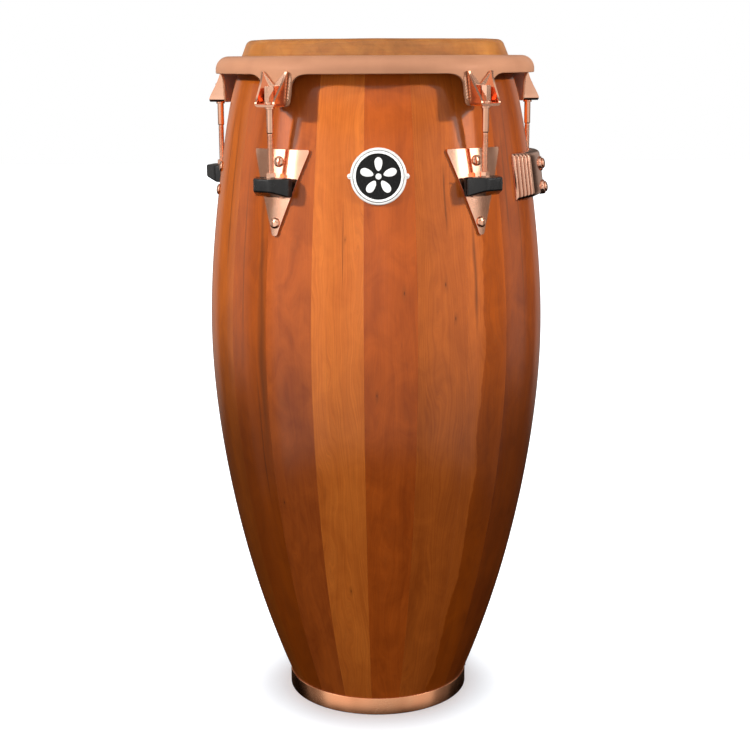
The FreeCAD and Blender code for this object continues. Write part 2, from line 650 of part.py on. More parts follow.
def pieces():
    """Every node of the drum by name."""
    nodes = {f"stave_{number + 1:02d}": stave(number) for number in range(STAVES)}
    nodes["bottom_ring"] = bottom_ring()
    nodes["ring_screws"] = band_screws()
    nodes["drumhead"] = drumhead()
    nodes["flesh_hoop"] = flesh_hoop()
    nodes["rim"] = rim()
    plate_places = stud_places()[:2 * len(LUG_ANGLES)]
    bracket_places = stud_places()[-4:-2]
    spare_places = stud_places()[-2:]
    nodes["plate_bolts"] = repeated(carriage_bolt(PLATE + 2 * CLEAR), plate_places)
    boss_top = bracket_crown() + BRACKET_BOSS_RISE + CLEAR
    nodes["bracket_bolts"] = repeated(carriage_bolt(boss_top), bracket_places)
    nodes["spare_bolts"] = repeated(carriage_bolt(CLEAR), spare_places)
    nodes["stud_washers"] = repeated(stud_washer(), stud_places())
    nodes["stud_nuts"] = repeated(stud_nut(), stud_places())
    for number, angle in enumerate(LUG_ANGLES, 1):
        nodes[f"ear_bracket_{number}"] = turned(ear(), angle)
        nodes[f"tuning_bolt_{number}"] = turned(tuning_bolt(), angle)
        nodes[f"side_plate_{number}"] = turned(side_plate(), angle)
        nodes[f"bumper_{number}"] = turned(bumper(), angle)
    nodes["bolt_washers"] = Part.makeCompound([turned(bolt_washer(), a) for a in LUG_ANGLES])
    nodes["retaining_rings"] = Part.makeCompound([turned(retaining_ring(), a) for a in LUG_ANGLES])
    nodes["lug_nuts"] = Part.makeCompound([turned(lug_nut(), a) for a in LUG_ANGLES])
    nodes["badge"] = badge()
    nodes["badge_pins"] = repeated(badge_pin(), [(BADGE_HEIGHT, a) for a in badge_pin_angles()])
    nodes["stand_bracket"] = stand_bracket()
    return nodes


os.makedirs("parts", exist_ok=True)
for name, shape in pieces().items():
    shape.exportStep(f"parts/{name}.step")
    print(name, len(shape.Solids), round(shape.Volume / 1000, 2), shape.isValid())
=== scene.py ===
import bmesh
import bpy
import numpy as np
from math import asin, atan, atan2, cos, degrees, dist, exp, hypot, pi, radians, sin, sqrt
from mathutils import Matrix, Vector


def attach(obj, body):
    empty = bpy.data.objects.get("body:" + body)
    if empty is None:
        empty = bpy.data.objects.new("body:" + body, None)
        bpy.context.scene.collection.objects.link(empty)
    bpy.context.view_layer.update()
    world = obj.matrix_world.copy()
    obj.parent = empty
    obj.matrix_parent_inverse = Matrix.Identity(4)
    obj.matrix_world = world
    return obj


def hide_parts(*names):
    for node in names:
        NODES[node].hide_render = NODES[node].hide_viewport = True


# The looks of a barrel drum, built round its CAD frame.
# Shapes are given in millimetres, in the CAD's own frame: foot at the origin, +Z up, badge
# facing -Y, angles round from the badge towards +X. Lug shapes are drawn facing -Y, as
# (sideways, outwards, up), and turned to each lug.

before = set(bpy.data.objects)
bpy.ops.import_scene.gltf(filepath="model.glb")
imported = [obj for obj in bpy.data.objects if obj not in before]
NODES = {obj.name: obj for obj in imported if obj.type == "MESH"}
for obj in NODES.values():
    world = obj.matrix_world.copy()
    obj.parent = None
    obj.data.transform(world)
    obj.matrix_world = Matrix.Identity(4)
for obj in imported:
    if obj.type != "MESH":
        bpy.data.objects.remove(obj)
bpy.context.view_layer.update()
MM = 0.001

CLEAR = 0.05                      # gap between pieces that touch
SKIM = 0.01                       # how far the staves stay inside the CAD's outline

STAVES = 21
STAVE_PITCH = 360 / STAVES
STAVE_JOINT = -4.9                # angle of the joint left of the badge's centre
GLUE_LINE = 0.02                  # angle left open between two staves
WALL = 11.5
FOOT = 20.0                       # height of the shell's lower edge
SHELL_TOP = 756.0
BAND_OUTER = 105.9
BAND_SHEET = 2.2

HEAD_TOP = 762.0
SKIN = 2.0
SKIN_FOOT = 731.0
HOOP_HEIGHT = 734.0
HOOP = 3.4                        # radius of the hoop's wire
LAP = 1.5                         # skin thickness round the hoop

LUG_ANGLES = [-108.0, -36.0, 36.0, 108.0, 180.0]
BOLT_CIRCLE = 188.0
RIM_OUTER = 177.5
RIM_LIP = 726.0
RIM_TOP = 744.6
SHOULDER = 14.5                   # outer radius of the rim's rolled edge
SHEET = 2.6
TONGUE_FOOT = 693.2
EAR_FLOOR = 693.5
EAR_TOP = 728.5
BOLT_FOOT = 602.0
PLATE = 2.5
PLATE_TIP = 561.0
PLATE_TOP = 650.0
TAB_FOOT = 616.5
TAB_TOP = 619.5
BUMPER_TOP = 621.5
BUMPER_BEND = 187.5               # where its sides turn towards the nose

BADGE_HEIGHT = 624.0
BADGE_RADIUS = 29.0
BRACKET_ANGLE = 77.5
BRACKET_HALF = 20.75              # angle from the bracket's middle to its edge
BRACKET_CROWN = 12.85
BRACKET_BOLTS = (599.6, 625.0)    # heights
PLATE_BOLTS = (574.0, 637.0)
STUD = 3.1                        # radius of a carriage bolt's shank
STUD_TIP = -WALL - 12             # how far its end reaches in from the shell's face


# Mesh building ---------------------------------------------------------------------------------

class Shape:
    """Points and faces gathered for one piece, in millimetres."""

    def __init__(self):
        self.points = []
        self.faces = []
        self.slots = []

    def grid(self, rows, around=False, along=False, slot=0):
        """Quads between rows of points; around closes each row, along joins the last to the first."""
        base = len(self.points)
        count = len(rows[0])
        for row in rows:
            self.points += row
        for i in range(len(rows) if along else len(rows) - 1):
            for j in range(count if around else count - 1):
                a = base + i * count
                b = base + (i + 1) % len(rows) * count
                k = (j + 1) % count
                self.faces.append((a + j, a + k, b + k, b + j))
                self.slots.append(slot)
        return self

    def turn(self, profile, place, segments, along=False):
        """A profile turned about a place's axis."""
        return self.grid(turning(profile, place, segments), around=True, along=along)

    def cap(self, row):
        """One face across a closed row of points."""
        base = len(self.points)
        self.points += row
        self.faces.append(tuple(range(base, base + len(row))))
        self.slots.append(0)

    def slab(self, front, back):
        """Closed sheet between two grids of the same size."""
        self.grid(front)
        self.grid(back)
        rims = [(front[0], back[0]), (front[-1], back[-1])]
        rims += [([r[0] for r in front], [r[0] for r in back])]
        rims += [([r[-1] for r in front], [r[-1] for r in back])]
        for one, other in rims:
            self.grid([one, other])
        return self

    def build(self, name, materials, sharp=35.0, clean=True):
        """The gathered shape as an object."""
        mesh = bpy.data.meshes.new(name)
        mesh.from_pydata([(x * MM, y * MM, z * MM) for x, y, z in self.points], [], self.faces)
        for material in materials:
            mesh.materials.append(material)
        mesh.polygons.foreach_set("material_index", self.slots)
        if clean:
            work = bmesh.new()
            work.from_mesh(mesh)
            bmesh.ops.remove_doubles(work, verts=work.verts, dist=2e-6)
            bmesh.ops.dissolve_degenerate(work, edges=work.edges, dist=1e-6)
            bmesh.ops.recalc_face_normals(work, faces=work.faces)
            work.to_mesh(mesh)
            work.free()
        mesh.shade_smooth()
        mesh.set_sharp_from_angle(angle=radians(sharp))
        return linked(name, mesh)


def linked(name, data):
    """New object in the scene."""
    made = bpy.data.objects.new(name, data)
    bpy.context.scene.collection.objects.link(made)
    return made


def bevelled(piece, width, segments=2, angle=40.0):
    """Rounds a piece's sharp edges."""
    bevel = piece.modifiers.new("edges", "BEVEL")
    bevel.width = width * MM
    bevel.segments = segments
    bevel.limit_method = "ANGLE"
    bevel.angle_limit = radians(angle)
    bevel.harden_normals = True
    return piece


def placed(piece, body, slot, *nodes):
    """Sets a piece on its CAD body and hides the nodes that it stands for; its finish is not used."""
    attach(piece, body)
    if nodes:
        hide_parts(*nodes)
    return piece


def steps(start, end, count):
    """Evenly spaced numbers from start to end."""
    return [start + (end - start) * i / (count - 1) for i in range(count)]


def arc(centre, radius, start, end, count):
    """Points of an arc in a profile, as (radius, height)."""
    return [(centre[0] + radius * cos(radians(a)), centre[1] + radius * sin(radians(a)))
            for a in steps(start, end, count)]


def bezier(poles, count):
    """Points along a cubic Bezier curve."""
    made = []
    for t in steps(0, 1, count):
        weights = [(1 - t) ** 3, 3 * t * (1 - t) ** 2, 3 * t * t * (1 - t), t ** 3]
        made.append(tuple(sum(w * p[k] for w, p in zip(weights, poles)) for k in range(len(poles[0]))))
    return made


# Places ----------------------------------------------------------------------------------------

def outline_table():
    """Heights and outer radii of the shell, read from a stave of the frame."""
    found = {(v.co.z / MM, hypot(v.co.x, v.co.y) / MM) for v in NODES["stave_10"].data.vertices}
    hull = []
    for point in sorted(p for p in found if FOOT - 0.01 < p[0] < SHELL_TOP + 0.01):
        while len(hull) > 1:
            (z0, r0), (z1, r1) = hull[-2:]
            if (z1 - z0) * (point[1] - r0) < (r1 - r0) * (point[0] - z0):
                break
            hull.pop()
        hull.append(point)
    return np.array(hull).T


OUTLINE = outline_table()


def section(height):
    """Radius of the shell at a height, and how far its outward normal tilts up."""
    low = max(height - 5, FOOT)
    high = min(height + 5, SHELL_TOP)
    ends = np.interp([low, high], *OUTLINE)
    slope = (ends[1] - ends[0]) / (high - low)
    return float(np.interp(height, *OUTLINE)), atan(-slope)


def polar(radius, height, angle):
    """Point at an angle round the drum."""
    a = radians(angle)
    return (radius * sin(a), -radius * cos(a), height)


def sheet_point(x, height, out):
    """Point of a sheet that lies on the shell, in a lug's frame."""
    tilt = section(height)[1]
    radius, tilt = section(height - out * sin(tilt))
    reach = radius + out * cos(tilt)
    return (x, sqrt(reach * reach - x * x), height)


def turned(angle, point):
    """A lug-frame point (sideways, outwards, up) turned to an angle."""
    x, out, z = point
    a = radians(angle)
    return (x * cos(a) + out * sin(a), x * sin(a) - out * cos(a), z)


def stud_place(height, angle):
    """Maps (sideways, up, out) about a place on the shell, square to its surface."""
    radius, tilt = section(height)

    def place(across, up, out):
        reach = radius + out * cos(tilt) - up * sin(tilt)
        return turned(angle, (across, reach, height + out * sin(tilt) + up * cos(tilt)))
    return place


def lug_place(angle):
    """Maps (sideways, outwards, up) about a tuning bolt's axis."""
    return lambda across, out, up: turned(angle, (across, BOLT_CIRCLE + out, up))


def drum_place(across, out, up):
    """Maps a turned profile about the drum's axis."""
    return turned(0.0, (across, out, up))


def circle(radius, count):
    """Points evenly round a circle."""
    return [(radius * cos(2 * pi * k / count), radius * sin(2 * pi * k / count)) for k in range(count)]


def turning(profile, place, segments):
    """Rows of points for a profile of (radius, along) turned about a place's axis."""
    return [[place(x, y, along) for x, y in circle(radius, segments)] for radius, along in profile]


def outline_normals(line, closed):
    """Unit normal at each point of an outline, on the left of its run."""
    made = []
    for k in range(len(line)):
        before = line[k - 1 if closed else max(k - 1, 0)]
        after = line[(k + 1) % len(line) if closed else min(k + 1, len(line) - 1)]
        run = dist(before, after)
        made.append(((before[1] - after[1]) / run, (after[0] - before[0]) / run))
    return made


def fillet(before, here, after, radius, count, share=0.45):
    """Curve that rounds off an outline's corner, using at most a share of each side."""
    ends = []
    for other in (before, after):
        gap = dist(here, other)
        reach = min(radius, gap * share)
        ends.append([h + (o - h) * reach / gap for h, o in zip(here, other)])
    return [tuple((1 - t) ** 2 * a + 2 * t * (1 - t) * h + t * t * b
                  for a, h, b in zip(ends[0], here, ends[1])) for t in steps(0, 1, count)]


def softened(corners, radius, count):
    """A closed profile with each corner rounded off."""
    made = []
    for before, here, after in zip(corners[-1:] + corners[:-1], corners, corners[1:] + corners[:1]):
        made += fillet(before, here, after, radius, count)
    return made


# Materials -------------------------------------------------------------------------------------

TREES = []


def new_tree(owner):
    """Empties the node tree of a material or a world; the nodes added next go into it."""
    owner.use_nodes = True
    owner.node_tree.nodes.clear()
    TREES.append(owner.node_tree)


def add(kind, inputs=None, **settings):
    """New node with its settings and inputs; an input may be a value or another node's output."""
    made = TREES[-1].nodes.new("ShaderNode" + kind)
    for key, value in settings.items():
        setattr(made, key, value)
    for key, value in (inputs or {}).items():
        socket = made.inputs[key]
        if isinstance(value, bpy.types.NodeSocket):
            TREES[-1].links.new(value, socket)
        else:
            socket.default_value = (*value, 1.0) if socket.type == "RGBA" else value
    return made


def maths(operation, first, second=0.0, clamp=False):
    """Output of a math node."""
    return add("Math", {0: first, 1: second}, operation=operation, use_clamp=clamp).outputs[0]


def times(first, second):
    """Product of two values."""
    return maths("MULTIPLY", first, second)


def vector(operation, first, second):
    """Output of a vector math node."""
    return add("VectorMath", {0: first, 1: second}, operation=operation).outputs[0]


def length(place):
    """Length of a vector."""
    return add("VectorMath", {0: place}, operation="LENGTH").outputs[1]


def attribute(name, output):
    """Value that a piece's points carry under a name."""
    return add("Attribute", attribute_name=name).outputs[output]


def fit(value, low, high, new_low=0.0, new_high=1.0):
    """Value rescaled from one range to another, clamped."""
    return add("MapRange", {0: value, 1: low, 2: high, 3: new_low, 4: new_high}).outputs[0]


def mix(factor, first, second, mode="MIX"):
    """Two colours mixed."""
    return add("Mix", {0: factor, 6: first, 7: second}, data_type="RGBA",
               blend_type=mode).outputs[2]


def ramp(factor, *stops):
    """Colour ramp through (position, colour) stops."""
    made = add("ValToRGB", {0: factor})
    elements = made.color_ramp.elements
    while len(elements) < len(stops):
        elements.new(0.5)
    for element, (position, colour) in zip(elements, stops):
        element.position = position
        element.color = (*colour, 1.0)
    return made.outputs[0]


def scaled(vector, scale, shift=(0, 0, 0)):
    """Vector scaled along each axis."""
    return add("Mapping", {0: vector, 1: shift, 3: scale}).outputs[0]


def noise(vector, scale=1.0, detail=3.0, roughness=0.55, distortion=0.0):
    """Noise value."""
    return add("TexNoise", {"Vector": vector, "Scale": scale, "Detail": detail,
                            "Roughness": roughness, "Distortion": distortion}).outputs[0]


def cells(vector, scale=1.0, feature="F1"):
    """Distance to the nearest Voronoi cell point."""
    return add("TexVoronoi", {"Vector": vector, "Scale": scale}, feature=feature).outputs[0]


def bump(height, distance, strength=1.0, normal=None):
    """Normal bent by a height; the distance is in millimetres."""
    inputs = {"Height": height, "Distance": distance * MM, "Strength": strength}
    if normal is not None:
        inputs["Normal"] = normal
    return add("Bump", inputs).outputs[0]


def millimetres():
    """The piece's own coordinates in millimetres."""
    place = add("TexCoord").outputs["Object"]
    return scaled(place, (1 / MM, 1 / MM, 1 / MM))


def material(name, make):
    """New material; make adds its nodes and gives the surface's inputs."""
    made = bpy.data.materials.new(name)
    new_tree(made)
    shader = add("BsdfPrincipled", make())
    add("OutputMaterial", {"Surface": shader.outputs[0]})
    return made


def metal(light, dark, rough, grain, brushed=0.0, peel=0.004, mirror=1.0):
    """Plated metal: cloudy tone, uneven gloss, fine scratches and a soft dimpled surface.

    A piece may mark a painted shade in its hollows, from 0 to 1, which darkens the colour there.
    """
    def make():
        at = millimetres()
        clouds = noise(at, 0.035, 3.0, 0.5, 0.4)
        fine = noise(at, grain, 4.0, 0.6)
        scratches = noise(scaled(at, (0.25, 0.25, 2.2)), 1.6, 3.0, 0.7)
        spots = fit(cells(at, 0.13), 0.03, 0.12, 1.0, 0.0)
        tone = fit(clouds, 0.35, 0.65)
        colour = mix(tone, dark, light)
        colour = mix(times(spots, 0.18), colour, (0.36, 0.16, 0.09))
        # Painted shade: dark red is mixed in where a piece marks the shade of its hollows.
        colour = mix(times(attribute("painted_hollow_shade", "Fac"), 0.85), colour, (0.36, 0.10, 0.05))
        gloss = maths("ADD", fit(clouds, 0.3, 0.7, rough * 0.8, rough * 1.25),
                      fit(scratches, 0.45, 0.8, 0.0, 0.07))
        dimples = bump(fine, peel)
        normal = bump(scratches, 0.006, brushed, dimples) if brushed else dimples
        return {"Base Color": colour, "Metallic": mirror, "Roughness": gloss, "Normal": normal}
    return make


def rawhide():
    """Thick translucent skin: amber clouds, fine veins, pores and a worn sheen."""
    at = millimetres()
    clouds = noise(at, 0.022, 5.0, 0.6, 0.8)
    patches = noise(at, 0.09, 4.0, 0.6, 0.3)
    veins = cells(scaled(at, (1, 1, 1)), 0.05, "DISTANCE_TO_EDGE")
    pores = noise(at, 1.3, 3.0, 0.7)
    base = ramp(clouds, (0.30, (0.20, 0.062, 0.007)), (0.50, (0.28, 0.093, 0.012)),
                (0.70, (0.37, 0.140, 0.023)))
    stretch = noise(scaled(at, (0.02, 0.02, 0.45)), 1.0, 4.0, 0.6)
    base = mix(fit(stretch, 0.42, 0.7, 0.0, 0.4), base, (0.15, 0.046, 0.005))
    colour = mix(fit(patches, 0.4, 0.75, 0.0, 0.30), base, (0.38, 0.17, 0.04))
    colour = mix(fit(veins, 0.0, 0.05, 0.16, 0.0), colour, (0.12, 0.043, 0.006))
    colour = mix(fit(pores, 0.55, 0.8, 0.0, 0.4), colour, (0.13, 0.05, 0.007))
    gloss = fit(patches, 0.3, 0.7, 0.36, 0.5)
    rough = bump(pores, 0.05)
    normal = bump(clouds, 0.4, 0.6, rough)
    return {"Base Color": colour, "Roughness": gloss, "Normal": normal,
            "Coat Weight": 0.35, "Coat Roughness": 0.28, "Subsurface Weight": 0.08,
            "Subsurface Radius": (0.006, 0.003, 0.001), "Subsurface Scale": 0.5}


def rubber():
    """Moulded black rubber: dusty mottling, pebbled skin and dull gloss."""
    at = millimetres()
    dust = noise(at, 0.12, 4.0, 0.6)
    pebble = noise(at, 2.4, 3.0, 0.6)
    base = ramp(dust, (0.35, (0.004, 0.004, 0.0045)), (0.7, (0.010, 0.010, 0.010)))
    colour = mix(fit(pebble, 0.6, 0.8, 0.0, 0.3), base, (0.013, 0.013, 0.012))
    return {"Base Color": colour, "Roughness": fit(dust, 0.3, 0.7, 0.19, 0.29),
            "Specular IOR Level": 0.5, "Normal": bump(pebble, 0.05)}


def enamel():
    """Glossy black fill of the badge, with faint dust and orange peel."""
    at = millimetres()
    dust = noise(at, 0.9, 4.0, 0.65)
    peel = noise(at, 0.7, 2.0)
    colour = ramp(dust, (0.5, (0.004, 0.004, 0.004)), (0.8, (0.02, 0.02, 0.02)))
    return {"Base Color": colour, "Roughness": fit(dust, 0.4, 0.7, 0.16, 0.3),
            "Specular IOR Level": 0.2, "Coat Weight": 0.1, "Coat Roughness": 0.05,
            "Normal": bump(peel, 0.012)}


def plated(light, dark, rough, mirror=1.0):
    """Pale plated metal with a mottled spangle."""
    def make():
        at = millimetres()
        spangle = cells(at, 0.35)
        clouds = noise(at, 0.2, 4.0, 0.6)
        scratches = noise(scaled(at, (0.4, 0.4, 3.0)), 1.2, 3.0, 0.7)
        tone = maths("ADD", times(spangle, 0.4), times(clouds, 0.7))
        colour = mix(fit(tone, 0.25, 0.75), dark, light)
        gloss = fit(scratches, 0.35, 0.75, rough * 0.7, rough * 1.5)
        return {"Base Color": colour, "Metallic": mirror, "Roughness": gloss,
                "Normal": bump(scratches, 0.008)}
    return make


def wood(seed, light, dark, figure=0.5, lines=0.5, split=None, streaks=(), knots=(), lacquer=True):
    """Stave wood. Its grain vector is (across the stave, height, depth) in millimetres.

    split is (edge at 560 mm, slope, other light, other dark) of a stave with two tones, streaks
    are (across, low, high, half width) of dark streaks, and knots are (across, height, size).
    """
    def make():
        at = attribute("grain", "Vector")
        own = vector("ADD", at, (seed * 37.3 % 911, seed * 113.7 % 1777, seed * 7.7 % 97))
        drift = noise(scaled(own, (0.02, 0.0035, 0.02)), 1.0, 3.0, 0.5)
        sway = add("CombineXYZ", {0: fit(drift, 0.0, 1.0, -34.0, 34.0)}).outputs[0]
        bent = vector("ADD", own, sway)
        broad = noise(scaled(bent, (0.05, 0.0045, 0.05)), 1.0, 4.0, 0.55, 0.3)
        figures = noise(scaled(own, (0.035, 0.021, 0.035)), 1.0, 4.0, 0.6, 0.9)
        fibres = noise(scaled(bent, (0.75, 0.009, 0.75)), 1.0, 4.0, 0.65)
        fine = noise(scaled(bent, (2.6, 0.03, 2.6)), 1.0, 3.0, 0.7)
        pores = noise(scaled(bent, (3.4, 0.16, 3.4)), 1.0, 2.0, 0.6)
        years = {"Vector": scaled(bent, (0.1, 0.0023, 0.1)), "Scale": 0.9, "Distortion": 8.0,
                 "Detail": 2.0, "Detail Scale": 1.1, "Detail Roughness": 0.5}
        rings = add("TexWave", years, bands_direction="X", wave_profile="SIN").outputs["Fac"]
        tone = times(fit(broad, 0.3, 0.7), 0.62)
        tone = maths("ADD", tone, fit(figures, 0.3, 0.72, -0.20 * figure, 0.28 + 0.34 * figure))
        tone = maths("ADD", tone, fit(fibres, 0.3, 0.7, -0.19, 0.19))
        tone = maths("ADD", tone, 0.08, clamp=True)
        colour = mix(tone, dark, light)
        across, height, _ = add("SeparateXYZ", {0: at}).outputs
        if split:
            edge, slope, other_light, other_dark = split
            wander = noise(scaled(own, (0.0, 0.012, 0.0)), 1.0, 4.0, 0.6)
            line = maths("ADD", times(maths("SUBTRACT", height, 560.0), slope),
                         fit(wander, 0.2, 0.8, edge - 7.0, edge + 7.0))
            side = fit(maths("SUBTRACT", across, line), -0.6, 0.9)
            colour = mix(side, colour, mix(tone, other_dark, other_light))
        late = times(maths("POWER", rings, 3.0), fit(broad, 0.35, 0.65, 0.3, 1.0))
        colour = mix(times(late, 0.22 * lines), colour, dark, "MULTIPLY")
        colour = mix(fit(fine, 0.42, 0.70, 0.0, 0.26), colour, (0.20, 0.055, 0.010))
        colour = mix(fit(pores, 0.66, 0.8, 0.0, 0.3), colour, (0.10, 0.028, 0.008))
        specks = times(fit(cells(scaled(own, (0.055, 0.011, 0.0))), 0.0, 0.055, 1.0, 0.0), 0.5)
        colour = mix(specks, colour, (0.12, 0.03, 0.008))
        for where, low, high, half in streaks:
            wobble = fit(drift, 0.3, 0.7, -half * 1.6, half * 1.6)
            off = maths("ABSOLUTE", maths("SUBTRACT", maths("ADD", across, wobble), where))
            inside = fit(off, 0.0, half, 1.0, 0.0)
            far = maths("ABSOLUTE", maths("SUBTRACT", height, (low + high) / 2))
            inside = times(inside, fit(far, (high - low) * 0.2, (high - low) / 2, 1.0, 0.0))
            colour = mix(times(inside, 0.72), colour, (0.09, 0.022, 0.003))
        for where, level, size in knots:
            centre = add("CombineXYZ", {0: where, 1: level}).outputs[0]
            away = vector("SUBTRACT", at, centre)
            ripple = fit(figures, 0.2, 0.8, 0.7, 1.4)
            apart = times(length(scaled(away, (1.4 / size, 0.42 / size, 0.0))), ripple)
            colour = mix(fit(apart, 0.8, 4.2, 0.45, 0.0), colour, (0.19, 0.045, 0.006))
            colour = mix(fit(apart, 0.3, 1.1, 0.75, 0.0), colour, (0.055, 0.012, 0.002))
        dips = bump(pores, 0.012)
        if not lacquer:
            return {"Base Color": mix(0.4, colour, (0.42, 0.26, 0.13)), "Roughness": 0.75,
                    "Normal": bump(fibres, 0.15, 1.0, dips)}
        swell = noise(at, 0.02, 2.0, 0.5)
        coat = bump(swell, 0.25, 0.5)
        coat = bump(noise(at, 0.5, 2.0, 0.5), 0.006, 1.0, coat)
        return {"Base Color": colour, "Roughness": fit(fibres, 0.3, 0.7, 0.38, 0.5),
                "Normal": dips, "Coat Weight": 0.55, "Coat IOR": 1.5, "Coat Normal": coat,
                "Coat Roughness": fit(swell, 0.3, 0.7, 0.09, 0.15), "Specular IOR Level": 0.15}
    return make


SATIN = material("copper_satin", metal((0.45, 0.212, 0.118), (0.41, 0.188, 0.104), 0.42, 1.8,
                                       brushed=0.5, peel=0.012, mirror=0.3))
COPPER = material("copper_polished", metal((0.98, 0.57, 0.40), (0.94, 0.49, 0.32), 0.11, 0.6))
THREAD = material("copper_thread", metal((0.98, 0.54, 0.36), (0.92, 0.46, 0.29), 0.22, 0.9))
BAND = material("copper_band", metal((1.0, 0.47, 0.25), (0.96, 0.41, 0.21), 0.2, 1.2, 0.3))
WELD = material("copper_weld", metal((0.98, 0.63, 0.45), (0.92, 0.52, 0.35), 0.2, 1.4, peel=0.03))
CAST = material("copper_cast", metal((0.95, 0.56, 0.40), (0.88, 0.46, 0.31), 0.14, 0.5, peel=0.02))
RAWHIDE = material("rawhide", rawhide)
RUBBER = material("rubber", rubber)
ENAMEL = material("badge_enamel", enamel)
SILVER = material("badge_silver", plated((0.93, 0.93, 0.92), (0.84, 0.84, 0.83), 0.22, 0.5))
BADGE_GROOVE = material("badge_groove", plated((0.07, 0.07, 0.07), (0.04, 0.04, 0.04), 0.4))
BADGE_WHITE = material("badge_white", plated((0.95, 0.95, 0.94), (0.88, 0.88, 0.87), 0.34, 0.15))
ZINC = material("zinc", plated((0.72, 0.73, 0.75), (0.52, 0.53, 0.56), 0.38))


# Shell -----------------------------------------------------------------------------------------

HONEY = ((0.65, 0.172, 0.022), (0.44, 0.096, 0.010))
AMBER = ((0.45, 0.104, 0.011), (0.29, 0.058, 0.005))
RUSSET = ((0.45, 0.086, 0.007), (0.28, 0.047, 0.003))
GOLD = ((0.33, 0.062, 0.001), (0.20, 0.034, 0.0005))
CHERRY = ((0.40, 0.082, 0.009), (0.24, 0.042, 0.004))
UMBER = ((0.24, 0.044, 0.0015), (0.14, 0.022, 0.001))
BRIAR = ((0.27, 0.051, 0.002), (0.165, 0.027, 0.001))
STRAW = ((0.35, 0.078, 0.005), (0.23, 0.046, 0.002))
# Tones, figure, ring lines and marks of each stave; see wood.
STAVE_LOOKS = [
    (RUSSET, 0.9, 0.25, dict(knots=[(14, 505, 1.1), (-15, 398, 0.9)])),
    (AMBER, 0.7, 0.9, dict(knots=[(3, 512, 1.2), (14, 476, 1.0)], streaks=[(8, 560, 640, 1.6)])),
    (AMBER, 0.5, 0.4, dict(split=(-5.0, 0.0165, *GOLD), streaks=[(-13, 450, 590, 3.0)])),
    (UMBER, 0.8, 0.3, dict(streaks=[(-13, 540, 680, 2.4), (-3, 600, 705, 1.8), (9, 430, 690, 1.4)])),
    (BRIAR, 0.7, 0.5, {}),
    (AMBER, 0.6, 0.7, {}),
    (HONEY, 0.4, 0.8, dict(knots=[(-9, 340, 1.2)])),
    (CHERRY, 0.8, 0.3, {}),
    (GOLD, 0.6, 0.6, dict(streaks=[(-14, 200, 430, 1.8)])),
    (RUSSET, 0.8, 0.5, dict(knots=[(10, 560, 1.0)])),
    (AMBER, 0.6, 0.9, {}),
    (HONEY, 0.5, 0.6, {}),
    (CHERRY, 0.9, 0.4, dict(split=(6.0, -0.012, *RUSSET))),
    (AMBER, 0.6, 0.7, dict(knots=[(-4, 250, 1.3)])),
    (RUSSET, 0.7, 0.4, {}),
    (HONEY, 0.4, 0.8, {}),
    (STRAW, 0.8, 0.5, {}),
    (STRAW, 0.6, 0.4, dict(streaks=[(10, 500, 690, 2.2), (-8, 590, 705, 1.5)])),
    (GOLD, 0.5, 0.5, dict(streaks=[(26, 290, 650, 5.5), (15, 250, 420, 1.6), (-8, 420, 640, 1.5)])),
    (CHERRY, 1.0, 0.3, dict(knots=[(-18, 268, 1.0)])),
    (HONEY, 0.35, 0.8, dict(knots=[(4, 168, 1.0), (8, 560, 0.7)], streaks=[(6, 505, 600, 0.8)])),
]


def bearing_edge():
    """Centre, radius and start angle of the rounded edge that the head lies on."""
    radius, tilt = section(SHELL_TOP)
    round_over = (HEAD_TOP - SKIN - CLEAR - SHELL_TOP) / (1 - sin(tilt))
    centre = (radius - round_over * cos(tilt), SHELL_TOP - round_over * sin(tilt))
    return centre, round_over, degrees(tilt)


def stave_section():
    """Loop round a stave's section as (radius, height, normal out, normal up), lacquered part first."""
    loop = []
    for height in steps(FOOT, SHELL_TOP, 110):
        radius, tilt = section(height)
        loop.append((radius - SKIM, height, cos(tilt), sin(tilt)))
    centre, round_over, start = bearing_edge()
    for angle in steps(start, 90, 9)[1:]:
        way = (cos(radians(angle)), sin(radians(angle)))
        loop.append((centre[0] + round_over * way[0], centre[1] + round_over * way[1], *way))
    outer = len(loop)
    for height in reversed(steps(FOOT + 4, SHELL_TOP, 60)):
        radius, tilt = section(height)
        loop.append((radius - WALL * cos(tilt), height - WALL * sin(tilt), 0, 0))
    foot = BAND_OUTER - BAND_SHEET - CLEAR
    low = BAND_SHEET + CLEAR
    loop += [(r, z, 0, 0) for r, z in [(92.6, FOOT), (92.6, low), (foot, low), (foot, FOOT)]]
    return loop, outer


def stave(number, loop, outer, inside):
    """One stave, with its grain written as (across, height, depth)."""
    start = STAVE_JOINT + STAVE_PITCH * number
    middle = start + STAVE_PITCH / 2
    columns = steps(start + GLUE_LINE / 2, start + STAVE_PITCH - GLUE_LINE / 2, 25)
    shape = Shape()
    shape.grid([[polar(r, z, angle) for r, z, _, _ in loop] for angle in columns], around=True)
    count = len(loop)
    shape.faces = [face[::-1] for face in shape.faces]
    shape.slots = [0 if k % count < outer - 1 else 1 for k in range(len(shape.faces))]
    last = range(len(shape.points) - count, len(shape.points))
    shape.faces += [tuple(range(count)), tuple(last[::-1])]
    shape.slots += [1, 1]
    tones, figure, lines, marks = STAVE_LOOKS[number]
    name = f"stave_{number + 1:02d}"
    look = material(f"wood_{number + 1:02d}", wood(number + 1, *tones, figure, lines, **marks))
    piece = shape.build(f"{name}_wood", [look, inside], clean=False)
    grain = []
    normals = []
    for angle in columns:
        for k, (radius, height, out, up) in enumerate(loop):
            depth = 0.0 if k < outer else WALL
            grain += [radians(angle - middle) * (radius + depth), height, depth]
            normals.append(Vector(polar(out, up, angle)))
    piece.data.attributes.new("grain", "FLOAT_VECTOR", "POINT").data.foreach_set("vector", grain)
    shading = []
    for face in piece.data.polygons:
        for vertex in face.vertices:
            shading.append(normals[vertex] if face.material_index == 0 else Vector())
    piece.data.normals_split_custom_set(shading)
    placed(piece, "shell", "stave_wood", name)


